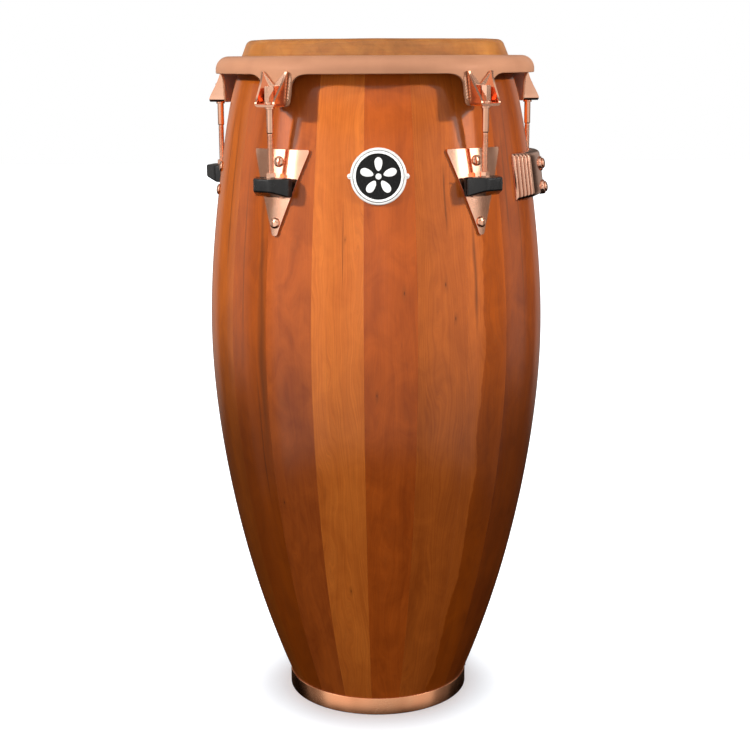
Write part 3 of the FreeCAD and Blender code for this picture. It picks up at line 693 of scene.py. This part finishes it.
def shell():
    """All the staves."""
    loop, outer = stave_section()
    inside = material("wood_inside", wood(50, *AMBER, lacquer=False))
    for number in range(STAVES):
        stave(number, loop, outer, inside)


def bottom_ring():
    """Foot band: a rolled angle with soft edges."""
    lip = 92.0
    inner = BAND_OUTER - BAND_SHEET
    corners = [(lip, 0.0), (BAND_OUTER, 0.0), (BAND_OUTER, FOOT), (inner, FOOT), (inner, BAND_SHEET),
               (lip, BAND_SHEET)]
    piece = Shape().turn(softened(corners, 0.8, 5), drum_place, 180, along=True)
    placed(piece.build("foot_band", [BAND], 50), "shell", "copper_satin", "bottom_ring")
    profile = [(0, 1.15), (1.5, 1.15), (1.55, 1.86), (2.2, 1.5), (2.8, 0.8), (3.0, 0.1), (1.6, 0.02),
               (1.6, -9.0), (0, -9.0)]
    screws = Shape()
    for angle in (93.0, 165.0, 237.0):
        def place(across, up, out, angle=angle):
            return turned(angle, (across, BAND_OUTER + out, 14.0 + up))
        screws.turn(profile, place, 24)
    placed(screws.build("band_screws", [COPPER]), "shell", "copper_polished", "ring_screws")


# Head ------------------------------------------------------------------------------------------

def drumhead():
    """Skin over the bearing edge, faintly uneven, with its skirt lapped round the hoop."""
    centre, round_over, tilt = bearing_edge()
    outer = [(centre[0] * t, HEAD_TOP) for t in steps(0, 1, 30)]
    outer += arc(centre, HEAD_TOP - centre[1], 90, tilt, 12)[1:]
    under = arc(centre, round_over + CLEAR, tilt, 90, 12)
    skirt = []
    back = []
    for height in reversed(steps(SKIN_FOOT, SHELL_TOP, 14)):
        radius, lean = section(height)
        for gap, side in ((CLEAR + SKIN, skirt), (CLEAR, back)):
            side.append((radius + gap * cos(lean), height + gap * sin(lean)))
    hoop = (section(HOOP_HEIGHT)[0] + SKIN + HOOP + 0.8, HOOP_HEIGHT)
    lap = arc(hoop, HOOP + CLEAR + LAP, 200, 460, 22) + arc(hoop, HOOP + CLEAR, 460, 200, 16)
    loop = outer + skirt[1:] + lap + list(reversed(back)) + under[1:]
    loop += [(centre[0] * t, HEAD_TOP - SKIN) for t in steps(1, 0, 8)]
    rows = turning(loop, drum_place, 216)
    for row in rows:
        for k, (x, y, z) in enumerate(row):
            reach = hypot(x, y)
            turn = atan2(x, -y)
            waves = sin(3 * turn + 0.7) + 0.7 * sin(7 * turn + reach / 31)
            waves += 0.5 * sin(13 * turn + 2 + z / 9)
            sink = 0.11 * (2.2 + waves * min(1.0, reach / 70)) * min(1.0, max(0.0, (z - 740) / 12))
            pull = 1 - 0.0009 * (2.2 + waves) * min(1.0, max(0.0, (758 - z) / 10)) * (z > 739)
            row[k] = (x * pull, y * pull, z - sink)
    piece = Shape().grid(rows, around=True)
    placed(piece.build("drum_skin", [RAWHIDE], 60), "shell", "skin", "drumhead")


# Rim -------------------------------------------------------------------------------------------

def tongue_outline():
    """Lower edge of the rim from one side of a tongue to the other, as (sideways, height)."""
    left = bezier([(-40, RIM_LIP), (-27, RIM_LIP), (-19.8, 722), (-19, 711)], 26)
    left += [(-18.65, 708.0), (-18.3, 705.0), (-17.65, 702.0)]
    left += bezier([(-17, 699.2), (-16.8, 695.8), (-14.6, TONGUE_FOOT), (-11, TONGUE_FOOT)], 12)
    left += [(-7.5, TONGUE_FOOT), (-3.8, TONGUE_FOOT)]
    return left + [(0, TONGUE_FOOT)] + [(-x, z) for x, z in reversed(left)]


def rim_edge():
    """Points round the whole lower edge as (angle, height)."""
    tongue = [(degrees(asin(x / RIM_OUTER)), z) for x, z in tongue_outline()]
    reach = tongue[-1][0]
    edge = []
    for angle in LUG_ANGLES:
        edge += [(angle + turn, z) for turn, z in tongue]
        edge += [(angle + turn, RIM_LIP) for turn in steps(reach, 72 - reach, 42)[1:-1]]
    return edge


def rim():
    """Crown, lip, collar and tongues, with every sheet edge rounded."""
    edge = rim_edge()
    bend = (RIM_OUTER - SHOULDER, RIM_TOP - SHOULDER)
    soft = 0.9
    rows = []
    for k, (angle, height) in enumerate(edge):
        before = edge[k - 1]
        after = edge[(k + 1) % len(edge)]
        run = radians((after[0] - before[0] + 180) % 360 - 180) * RIM_OUTER
        rise = after[1] - before[1]
        reach = hypot(run, rise)
        inward = (-rise / reach, run / reach)
        drop = height + soft * inward[1] - bend[1]
        shift = soft * inward[0]
        row = [(RIM_OUTER, bend[1] + drop * t, shift * t) for t in steps(0, 1, 7)[:-1]]
        for turn in steps(0, 180, 8):
            out = RIM_OUTER - SHEET / 2 + SHEET / 2 * cos(radians(turn))
            lift = soft * (1 - sin(radians(turn)))
            row.append((out, height + lift * inward[1], lift * inward[0]))
        row += [(RIM_OUTER - SHEET, bend[1] + drop * t, shift * t) for t in steps(1, 0, 5)[1:]]
        row += [(r, z, 0) for r, z in arc(bend, SHOULDER - SHEET, 0, 90, 8)[1:]]
        foot = HOOP_HEIGHT + HOOP + CLEAR + LAP + CLEAR
        under = RIM_TOP - SHEET
        collar = [(158.4, under), (158.4, foot), (155.4, foot), (155.4, under), (151.2, under)]
        row += [(r, z, 0) for r, z in collar]
        row += [(r, z, 0) for r, z in arc((151.4, RIM_TOP - 1.3), 0.9, 215, 165, 3)]
        row += [(r, z, 0) for r, z in arc((151.4, RIM_TOP - 1.1), 1.1, 165, 90, 5)]
        row += [(154.5, RIM_TOP, 0), (158.5, RIM_TOP, 0)]
        row += [(r, z, 0) for r, z in arc(bend, SHOULDER, 90, 0, 16)]
        rows.append([polar(r, z, angle + degrees(across / RIM_OUTER)) for r, z, across in row[:-1]])
    piece = Shape().grid(rows, around=True, along=True)
    placed(piece.build("rim_crown", [SATIN], 50), "rim", "copper_satin", "rim")


def weld_bead(shape, angle, side):
    """Ripples of a weld up one edge of an ear, on the rim's face."""
    ripples = 9
    rows = []
    for k in range(ripples * 7 + 1):
        t = k / (ripples * 7)
        phase = (k % 7) / 7
        swell = 0.62 + 0.38 * sqrt(max(0.0, 1 - (2 * phase - 0.9) ** 2)) * (0.9 + 0.2 * sin(k * 1.7))
        taper = min(1.0, 6 * t + 0.25, 6 * (1 - t) + 0.25)
        row = []
        for a in steps(-1, 1, 11):
            across = 1.7 * a * taper * (0.9 + 0.12 * sin(k * 0.9))
            level = 698.0 + 27.5 * t - 1.5 * a * a
            x = side * (14.0 + 4.2 * t + across)
            height = 1.5 * swell * taper * sqrt(max(0.0, 1 - a * a))
            out = RIM_OUTER - 0.5 + height
            row.append(turned(angle, (x, sqrt(max(0.0, out * out - x * x)), level)))
        rows.append(row)
    shape.grid(rows)


def ear(number, angle):
    """Folded and welded bracket: rounded floor, splayed cheeks and a vee-notched back."""
    shape = Shape()
    back = RIM_OUTER + CLEAR
    front = 196.5
    lean = degrees(atan2(16.8 - 12.5, EAR_TOP - EAR_FLOOR))
    radius = 3.6
    corner = (12.5 - radius * 0.86, EAR_FLOOR + radius)
    half = [(-16.8 + 4.3 * t, EAR_TOP + (corner[1] - EAR_TOP) * t) for t in steps(0, 1, 14)[:-1]]
    half += [(-corner[0] - radius * cos(radians(a)), corner[1] - radius * sin(radians(a)))
             for a in steps(-lean, 90, 9)]
    half += [(x, EAR_FLOOR) for x in steps(-corner[0], 0, 5)[1:-1]]
    line = half + [(0, EAR_FLOOR)] + [(-x, z) for x, z in reversed(half)]
    outer = []
    inner = []
    sweep = bezier([(4, 0), (11, 2.5), (22, 12.9), (35, 16.3)], 24)
    rise = [p[0] for p in sweep]
    fall = [p[1] for p in sweep]
    for (x, z), (side, up) in zip(line, outline_normals(line, False)):
        reach = front - float(np.interp(z - EAR_FLOOR, rise, fall))
        depth = steps(back, max(reach, back + 0.6), 10)
        outer.append([turned(angle, (x, out, z)) for out in depth])
        inner.append([turned(angle, (x + SHEET * side, out, z + SHEET * up)) for out in depth])
    shape.slab(outer, inner)
    notch = 715.0
    plate = []
    for out in (back, back + SHEET):
        rows = []
        for t in steps(0, 1, 9):
            x = 16.2 * t
            low = 695.0 + max(0.0, x - 11.5) * 33 / 4.7
            high = notch + (EAR_TOP - notch) * min(1.0, x / 14.0)
            rows.append([(x, out, z) for z in steps(min(low, high - 0.5), high, 8)])
        mirrored = [[(-x, y, z) for x, y, z in row] for row in reversed(rows[1:])]
        plate.append([[turned(angle, point) for point in row] for row in mirrored + rows])
    shape.slab(*plate)
    piece = shape.build(f"ear_{number}", [COPPER], 40)
    bevelled(piece, 0.45, 3)
    placed(piece, "rim", "copper_polished", f"ear_bracket_{number}")
    beads = Shape()
    for side in (-1, 1):
        weld_bead(beads, angle, side)
    placed(beads.build(f"ear_{number}_welds", [WELD], 80), "rim", "copper_polished")


# Bolts, nuts and washers -----------------------------------------------------------------------

def hexagonal(shape, place, flats, foot, top, bore=0.0, base_chamfer=False):
    """Hexagon with its corners turned off to a cone at the top, in curved facets."""
    across = flats / 2
    count = 72

    def ring(radius, level):
        return [place(x, y, level) for x, y in circle(radius, count)]

    def edge(level, sign):
        row = []
        for k in range(count):
            turn = 2 * pi * k / count
            radius = across / cos(turn % (pi / 3) - pi / 6)
            drop = (radius - across * 0.96) * 0.55 * sign
            row.append(place(radius * cos(turn), radius * sin(turn), level - drop))
        return row
    rows = [ring(bore, foot)]
    if base_chamfer:
        rows.append(ring(across * 0.96, foot))
    rows += [edge(foot, -1 if base_chamfer else 0), edge(top, 1), ring(across * 0.96, top)]
    if bore:
        rows += [ring(bore + 0.35, top), ring(bore, top - 0.35)]
        shape.grid(rows, around=True, along=True)
    else:
        rows += [ring(across * 0.5, top), ring(0.0, top)]
        shape.grid(rows, around=True)


def thread(shape, place, foot, top, crest, root, pitch=1.27):
    """Right-hand helical thread with softened crests."""
    flank = root + (crest - root) * 0.75
    form = [root, flank, crest, crest, flank, root]
    columns = 28
    count = int((top - foot) / pitch) + 2
    rows = []
    for i in range(count * len(form)):
        row = []
        for j in range(columns + 1):
            level = foot - pitch + pitch * (i / len(form) + j / columns)
            ease = min(1.0, max(0.0, (level - foot) / 1.2), max(0.0, (top - level) / 1.5))
            radius = root + (form[i % len(form)] - root) * ease
            level = min(max(level, foot), top)
            turn = 2 * pi * j / columns
            row.append(place(radius * cos(turn), radius * sin(turn), level))
        rows.append(row)
    shape.grid(rows, slot=1)


def tuning_bolt(number, angle):
    """Long hexagon bolt: head, plain shank and real thread."""
    place = lug_place(angle)
    shape = Shape()
    hexagonal(shape, place, 9.5, 698.5, 714.5, base_chamfer=True)
    shank = [(3.65, 698.6), (3.65, 667.6), (3.5, 667.2), (2.75, 666.4)]
    shank += [(radius, BOLT_FOOT) for radius in (2.7, 2.3, 0)]
    shape.turn(shank, place, 36)
    thread(shape, place, BOLT_FOOT + 0.2, 666.4, 3.175, 2.62)
    piece = shape.build(f"tuning_bolt_{number}_turned", [COPPER, THREAD], 38)
    bevelled(piece, 0.18, 2, 50)
    placed(piece, f"tuning_bolt_{number}", "copper_polished", f"tuning_bolt_{number}")


def lug_fittings():
    """Washers and retaining rings on the ears, and the flanged nuts in the tabs."""
    washer = softened([(3.7, 696.55), (6.2, 696.55), (6.2, 698.4), (3.7, 698.4)], 0.35, 4)
    keeper = softened([(3.7, 691.35), (5.0, 691.35), (5.0, 693.4), (3.7, 693.4)], 0.4, 4)
    barrel = [(3.3, 614.45), (7.0, 614.45), (7.0, 616.4), (5.25, 616.45), (5.25, 619.6), (3.3, 619.6)]
    barrel = softened(barrel, 0.3, 3)
    washers = Shape()
    rings = Shape()
    nuts = Shape()
    for angle in LUG_ANGLES:
        place = lug_place(angle)
        washers.turn(washer, place, 48, along=True)
        rings.turn(keeper, place, 40, along=True)
        hexagonal(nuts, place, 9.0, TAB_TOP, 626.8, bore=3.24)
        nuts.turn(barrel, place, 48, along=True)
    placed(washers.build("head_washers", [COPPER], 50), "rim", "copper_polished", "bolt_washers")
    placed(rings.build("keeper_rings", [COPPER], 50), "rim", "copper_polished", "retaining_rings")
    nuts = bevelled(nuts.build("flange_nuts", [COPPER], 38), 0.15, 2, 50)
    placed(nuts, "shell", "copper_polished", "lug_nuts")


def domed_bolts(name, node, places, seat):
    """Carriage bolts: low polished domes with a soft rim, and a plain shank that ends inside the shell.
    """
    profile = [(0, seat + 3.2)]
    profile += [(5.8 * sin(a), seat + 0.75 + 2.45 * cos(a)) for a in steps(0.1, pi / 2, 14)]
    profile += [(5.72, seat + 0.3), (5.45, seat), (STUD, seat), (STUD, STUD_TIP + 0.6), (2.6, STUD_TIP),
                (0, STUD_TIP)]
    shape = Shape()
    for height, angle in places:
        place = stud_place(height, angle)
        shape.turn(profile, place, 40)
    placed(shape.build(name, [COPPER], 50), "shell", "copper_polished", node)


# Side plates and bumpers -----------------------------------------------------------------------

def side_plate(number, angle):
    """Triangular plate bent to the shell, with softened edges and a tab for the nut."""
    tip = 4.5
    widest = 35.5
    shoulder = PLATE_TOP - 2
    front = []
    back = []
    for t in [0.0, 0.012, 0.03, 0.06] + steps(0.1, 0.96, 24) + [0.985, 1.0]:
        z = PLATE_TIP + (PLATE_TOP - PLATE_TIP) * t
        half = tip + (widest - tip) * max(0.0, t - 0.056) / 0.922
        if t < 0.056:
            half = tip * sqrt(1 - ((0.056 - t) / 0.062) ** 2)
        if z > shoulder:
            half = widest - (z - shoulder) * 0.5
        for side, out in ((front, CLEAR + PLATE), (back, CLEAR)):
            side.append([turned(angle, sheet_point(half * a, z, out)) for a in steps(-1, 1, 25)])
    shape = Shape().slab(front, back)
    root = section(TAB_FOOT)[0] + 1.2
    bend = 193.0
    corner = 4.0
    upper = []
    lower = []
    for out in steps(root, bend, 6) + [bend + corner * sin(a) for a in steps(0.2, pi / 2, 7)]:
        half = 12.0 if out <= bend else 8 + corner * sqrt(max(0.0, 1 - ((out - bend) / corner) ** 2))
        for side, z in ((upper, TAB_TOP), (lower, TAB_FOOT)):
            side.append([turned(angle, (half * a, out, z)) for a in steps(-1, 1, 9)])
    shape.slab(upper, lower)
    piece = shape.build(f"side_plate_{number}_bent", [COPPER], 40)
    bevelled(piece, 0.55, 3)
    placed(piece, "shell", "copper_polished", f"side_plate_{number}")


def bumper_plan(back):
    """Rounded plan of a bumper as (sideways, outwards), its corners filleted."""
    right = [(11.5, 204.0), (21.5, BUMPER_BEND), (21.5, back)]
    corners = [(-x, out) for x, out in reversed(right)] + right
    plan = []
    for k, radius in enumerate((1.0, 4.2, 4.2, 4.2, 4.2, 1.0)):
        after = corners[(k + 1) % 6]
        plan += fillet(corners[k - 1], corners[k], after, radius, 8, 1.0)
        plan += [tuple(e + (o - e) * t for e, o in zip(plan[-1], after)) for t in (0.2, 0.4, 0.6)]
    return plan


def bumper(number, angle):
    """Moulded rubber block with rounded edges, open for the nut and the bolt."""
    plan = bumper_plan(section(BOLT_FOOT)[0] + PLATE + 0.6)

    def underside(out):
        return BOLT_FOOT + 5.8 * max(0.0, (out - BUMPER_BEND) / 16.5)

    def ring(inset, lift, top):
        row = []
        for (x, out), (aside, ahead) in zip(plan, outline_normals(plan, True)):
            x -= aside * inset
            out -= ahead * inset
            z = BUMPER_TOP - lift if top else underside(out) + lift
            dip = 0.35 * exp(-((x / 5.0) ** 2)) if top and inset > 1 else 0.0
            row.append(turned(angle, (x, out, z - dip)))
        return row

    def hole(radius, z):
        row = []
        for x, out in plan:
            turn = atan2(x, out - BOLT_CIRCLE)
            row.append(turned(angle, (radius * sin(turn), BOLT_CIRCLE + radius * cos(turn), z)))
        return row
    soft = 1.9
    rows = []
    for top, turns in ((False, steps(0, 90, 6)), (True, steps(90, 0, 6))):
        rows += [ring(soft * (1 - sin(radians(a))), soft * (1 - cos(radians(a))), top) for a in turns]
    rows += [ring(4.0, 0.0, True), hole(7.2, 621.15), hole(6.3, 620.9), hole(6.05, 620.2)]
    rows += [hole(6.05, 614.0), hole(4.1, 613.5), hole(4.1, BOLT_FOOT + 0.8), hole(4.9, BOLT_FOOT)]
    rows += [ring(3.5, 0.0, False)]
    made = Shape().grid(rows, around=True, along=True).build(f"bumper_{number}_moulded", [RUBBER], 60)
    placed(made, "shell", "rubber", f"bumper_{number}")


# Badge -----------------------------------------------------------------------------------------

def badge_point(x, up, out):
    """Point of the badge, bent to the shell."""
    return turned(0.0, sheet_point(x, BADGE_HEIGHT + up, out))


def badge():
    """Round plate in rings: raised silver rim, groove, pale line and black field."""
    rings = [(1.0, 0.05, 0), (1.0, 0.7, 0), (0.992, 1.25, 0), (0.975, 1.6, 0), (0.955, 1.72, 0),
             (0.93, 1.70, 0), (0.91, 1.58, 0), (0.905, 1.3, 2), (0.888, 1.26, 2), (0.882, 1.5, 3),
             (0.872, 1.58, 3), (0.812, 1.58, 3), (0.803, 1.5, 3), (0.798, 1.22, 1), (0.78, 1.18, 1),
             (0.6, 1.18, 1), (0.4, 1.18, 1), (0.2, 1.18, 1), (0.0, 1.18, 1)]
    ear = 3.0
    rows = []
    for share, out, _ in rings:
        row = []
        for k in range(360):
            turn = radians(k)
            across = BADGE_RADIUS * abs(sin(turn))
            radius = BADGE_RADIUS
            if across < ear and share > 0.95:
                radius = max(radius, BADGE_RADIUS * abs(cos(turn)) + sqrt(ear * ear - across * across))
            radius *= share
            row.append(badge_point(radius * cos(turn), radius * sin(turn), out))
        rows.append(row)
    shape = Shape()
    for k in range(len(rows) - 1):
        shape.grid(rows[k:k + 2], around=True, slot=rings[k + 1][2])
    shape.cap(rows[0])
    piece = shape.build("badge_plate", [SILVER, ENAMEL, BADGE_GROOVE, BADGE_WHITE], 40)
    placed(piece, "shell", "badge_plate", "badge")
    badge_rosette()
    pins = Shape()
    reach = degrees((BADGE_RADIUS + 0.6) / section(BADGE_HEIGHT)[0])
    for angle in (-reach, reach):
        place = stud_place(BADGE_HEIGHT, angle)
        profile = [(0, 2.7)] + [(1.5 * sin(a), 1.85 + 0.85 * cos(a)) for a in steps(0.15, pi / 2, 8)]
        profile += [(1.45, 1.7), (0.8, 1.7), (0.8, -8), (0, -8)]
        pins.turn(profile, place, 24)
    placed(pins.build("badge_nails", [SILVER], 50), "shell", "badge_plate", "badge_pins")


def badge_rosette():
    """Five plain petals round a dot, raised from the black field."""
    shape = Shape()
    for petal in range(5):
        turn = radians(90 + 72 * petal)
        loops = []
        for inset, out in ((0.0, 1.15), (0.0, 1.42), (0.25, 1.55), (0.7, 1.58)):
            loop = []
            for k in range(40):
                a = 2 * pi * k / 40
                along = 12.4 + (6.9 - inset) * cos(a)
                across = (4.9 - inset) * sin(a) * (0.80 + 0.20 * cos(a))
                loop.append(badge_point(along * cos(turn) - across * sin(turn),
                                        along * sin(turn) + across * cos(turn), out))
            loops.append(loop)
        shape.grid(loops, around=True)
        shape.cap(loops[-1])
    loops = []
    for radius, out in ((3.0, 1.15), (3.0, 1.42), (2.75, 1.55), (1.5, 1.58), (0.0, 1.58)):
        loops.append([badge_point(x, up, out) for x, up in circle(radius, 32)])
    shape.grid(loops, around=True)
    placed(shape.build("badge_rosette", [BADGE_WHITE], 40), "shell", "badge_plate")


# Stand bracket ---------------------------------------------------------------------------------

def stand_bracket():
    """Cast plate with fluted flanks, a raised crown and two bosses."""
    half = BRACKET_HALF
    crown = BRACKET_CROWN
    middle = 616.0
    path = [(591.0, 0.0), (591.0, 2.2), (591.6, 5.5), (592.8, 9.2), (593.6, 10.8), (594.6, 12.0),
            (596.2, 12.7), (598.5, crown)]
    path += [(z, crown) for z in steps(602, 630, 9)] + [(2 * middle - z, h) for z, h in reversed(path)]
    flank = 7.2

    def flute(turn):
        """Height of the flutes at an angle from the bracket's middle, from -1 to 1."""
        share = (half - abs(turn)) / flank
        return sin(2 * pi * 4.6 * share + 0.4) * min(1.0, 6 * (1 - share)) if share < 1 else 0.0

    rows = []
    for turn in [-half] + steps(-half, half, 301) + [half]:
        share = min(1.0, (half - abs(turn)) / flank)
        level = min(crown, 2.9 + (crown - 2.9) * share ** 0.9 + 0.62 * flute(turn))
        if not rows or len(rows) == 302:
            level = CLEAR
        row = []
        for z, h in path:
            radius, tilt = section(z)
            out = max(CLEAR, h / crown * level)
            row.append(polar(radius + out * cos(tilt), z + out * sin(tilt), BRACKET_ANGLE + turn))
        rows.append(row)
    shape = Shape().grid(rows)
    boss = [(8.0, crown - 4)]
    boss += [(6.5 + 1.5 * cos(a), crown + 0.9 + 1.5 * sin(a)) for a in steps(0, pi / 2, 7)]
    boss += [(3.0, crown + 2.4)]
    for level in BRACKET_BOLTS:
        shape.turn(boss, stud_place(level, BRACKET_ANGLE), 48)
    piece = shape.build("stand_bracket_cast", [CAST], 55)
    turns = [degrees(atan2(v.co.x, -v.co.y)) - BRACKET_ANGLE for v in piece.data.vertices]
    # Painted shade: the flute valleys are marked for a darker colour that stands in for their shade.
    hollow_shade_values = piece.data.attributes.new("painted_hollow_shade", "FLOAT", "POINT")
    hollow_shade_values.data.foreach_set("value", [min(1.0, max(0.0, -1.4 * flute(turn) - 0.1)) for turn in turns])
    placed(piece, "shell", "copper_polished", "stand_bracket")


# Everything on the drum ------------------------------------------------------------------------

shell()
bottom_ring()
drumhead()
rim()
for number, angle in enumerate(LUG_ANGLES, 1):
    ear(number, angle)
    tuning_bolt(number, angle)
    side_plate(number, angle)
    bumper(number, angle)
lug_fittings()
on_plates = [(height, angle) for angle in LUG_ANGLES for height in PLATE_BOLTS]
on_bracket = [(height, BRACKET_ANGLE) for height in BRACKET_BOLTS]
on_left = [(height, -81.0) for height in BRACKET_BOLTS]
domed_bolts("plate_bolt_domes", "plate_bolts", on_plates, PLATE + 2 * CLEAR)
domed_bolts("bracket_bolt_domes", "bracket_bolts", on_bracket, BRACKET_CROWN + 2.45)
domed_bolts("spare_bolt_domes", "spare_bolts", on_left, CLEAR)
badge()
stand_bracket()
for name in ("flesh_hoop", "stud_washers", "stud_nuts"):
    NODES[name].data.materials.clear()
    NODES[name].data.materials.append(ZINC)


# Studio ----------------------------------------------------------------------------------------

GLOSS_LIGHT = 1.2                 # strength of the walls in reflections
ROOM_LIGHT = 0.98                 # strength of the walls on matt surfaces
LAMP_COLOUR = (1.0, 0.98, 0.95)
CAMERA_BEARING = -1.0
CAMERA_REACH = 1.664
CAMERA_HEIGHT = 0.741
CAMERA_TURN = 0.06
CAMERA_DROP = 12.27               # how far it looks down
CAMERA_ROLL = -0.30


def floor():
    """Large pale floor, faintly mottled, with a painted glow that is brighter away from the drum and
    leaves a painted contact shadow round its foot; it casts no light back.
    """
    def look():
        at = add("TexCoord").outputs["Object"]
        cloud = noise(at, 3.0, 3.0)
        colour = ramp(cloud, (0.3, (0.70, 0.77, 0.85)), (0.7, (0.73, 0.80, 0.88)))
        away = length(at)
        # Painted glow: the emission rises away from the drum, so the dimmer floor at its foot is a
        # painted contact shadow.
        return {"Base Color": colour, "Roughness": 0.9, "Emission Color": (1, 1, 1),
                "Emission Strength": fit(away, 0.10, 0.19, 0.12, 0.9)}
    marks = steps(-9000, 9000, 13)
    shape = Shape().grid([[(x, y, 0.0) for x in marks] for y in marks])
    made = shape.build("studio_floor", [material("floor_painted_glow", look)])
    made.visible_diffuse = False
    made.visible_glossy = False
    made.visible_transmission = False


def lamp(name, kind, azimuth, elevation, distance, power, aim, **settings):
    """Light aimed at a point, for matt surfaces only."""
    data = bpy.data.lights.new(name, kind)
    data.energy = power
    data.color = LAMP_COLOUR
    for key, value in settings.items():
        setattr(data, key, value)
    made = linked(name, data)
    flat = distance * cos(radians(elevation))
    turn = radians(azimuth)
    away = Vector((flat * sin(turn), -flat * cos(turn), distance * sin(radians(elevation))))
    made.location = Vector(aim) + away
    made.rotation_euler = (-away).to_track_quat("-Z", "Y").to_euler()
    made.visible_glossy = False
    return made


def spotlight(name, azimuth, elevation, distance, power):
    """Hard lamp aimed at the top of the drum, its cone fading out below the waist."""
    lamp(name, "SPOT", azimuth, elevation, distance, power, (0, 0, 0.78),
         shadow_soft_size=0.038, spot_size=radians(46), spot_blend=0.6)


def softbox(name, azimuth, elevation, distance, size, power, middle=0.60):
    """Rectangular light facing the drum at a height."""
    return lamp(name, "AREA", azimuth, elevation, distance, power, (0, 0, middle),
                shape="RECTANGLE", size=size[0], size_y=size[1])


def surroundings():
    """Studio walls: white to the camera, dim for matt surfaces, with bright panels in reflections."""
    world = bpy.data.worlds.new("studio")
    bpy.context.scene.world = world
    new_tree(world)
    way = add("TexCoord").outputs["Generated"]
    across, along, up = add("SeparateXYZ", {0: way}).outputs
    level = fit(up, -1.0, 1.0)
    above = [(0.62, (0.90, 0.88, 0.86)), (0.655, (0.30, 0.27, 0.25)), (0.69, (0.30, 0.27, 0.25)),
             (0.72, (0.95, 0.93, 0.91))]
    front = ramp(level, (0.18, (0.02, 0.018, 0.016)), (0.25, (0.03, 0.027, 0.024)),
                 (0.285, (0.74, 0.72, 0.70)), *above)
    flank = ramp(level, (0.30, (0.01, 0.009, 0.008)), (0.35, (0.05, 0.045, 0.04)),
                 (0.40, (0.74, 0.72, 0.70)), *above)
    bearing = maths("ARCTAN2", across, times(along, -1.0))
    bearing = maths("DIVIDE", maths("ABSOLUTE", bearing), pi)
    height = mix(fit(bearing, 0.48, 0.60), front, flank)
    panels = ramp(bearing, (0.0, (0.86, 0.86, 0.86)), (0.12, (0.92, 0.92, 0.92)),
                  (0.15, (0.84, 0.82, 0.80)), (0.18, (0.84, 0.82, 0.80)), (0.22, (1.05, 1.05, 1.05)),
                  (0.40, (1.05, 1.05, 1.05)), (0.44, (0.28, 0.26, 0.25)), (0.53, (0.28, 0.26, 0.25)),
                  (0.58, (0.85, 0.84, 0.83)), (0.66, (0.60, 0.58, 0.56)), (0.71, (0.05, 0.04, 0.035)),
                  (0.78, (0.06, 0.05, 0.045)), (0.82, (0.48, 0.44, 0.41)), (0.90, (0.48, 0.44, 0.41)),
                  (0.94, (0.08, 0.07, 0.06)), (1.0, (0.30, 0.28, 0.27)))
    room = mix(1.0, height, panels, "MULTIPLY")
    power = fit(across, -0.3, 0.3, GLOSS_LIGHT, 0.78 * GLOSS_LIGHT)
    glossy = add("Background", {0: room, 1: power}).outputs[0]
    soft = ramp(level, (0.18, (0.02, 0.018, 0.016)), (0.32, (0.06, 0.055, 0.05)),
                (0.42, (0.50, 0.48, 0.46)), (0.60, (0.85, 0.83, 0.81)))
    dim = add("Background", {0: soft, 1: ROOM_LIGHT}).outputs[0]
    white = add("Background", {0: (1, 1, 1), 1: 1.0}).outputs[0]
    ray = add("LightPath").outputs
    lit = add("MixShader", {0: ray["Is Glossy Ray"], 1: dim, 2: glossy}).outputs[0]
    seen = add("MixShader", {0: ray["Is Camera Ray"], 1: lit, 2: white}).outputs[0]
    add("OutputWorld", {"Surface": seen})


def camera():
    """Camera of a studio shot: in front, just under the head's height, looking slightly down."""
    data = bpy.data.cameras.new("camera")
    data.sensor_width = 36.0
    data.lens = 69.744
    data.clip_start = 0.05
    data.clip_end = 100
    made = linked("camera", data)
    bearing = radians(CAMERA_BEARING)
    made.location = (CAMERA_REACH * sin(bearing), -CAMERA_REACH * cos(bearing), CAMERA_HEIGHT)
    turn = Matrix.Rotation(bearing + radians(CAMERA_TURN), 4, "Z")
    drop = Matrix.Rotation(radians(90 - CAMERA_DROP), 4, "X")
    roll = Matrix.Rotation(radians(CAMERA_ROLL), 4, "Z")
    made.rotation_euler = (turn @ drop @ roll).to_euler()
    bpy.context.scene.camera = made


floor()
surroundings()
camera()
for side in (-1, 1):
    spotlight(f"key_{side}", side * 67, 14, 1.25, 78 - 4 * side)
    panel = softbox(f"panel_{side}", side * 66, 19, 1.35, (0.42, 0.50), 2.1)
    panel.visible_glossy = True
    panel.visible_diffuse = False
    softbox(f"back_{side}", side * 150, 26, 2.2, (0.9, 0.9), 7)
softbox("overhead", 0, 78, 1.6, (1.2, 1.0), 2)
softbox("front", -3, 10, 2.2, (0.8, 0.8), 9, 0.30)

view = bpy.context.scene.view_settings
view.view_transform = "Standard"
view.look = "None"
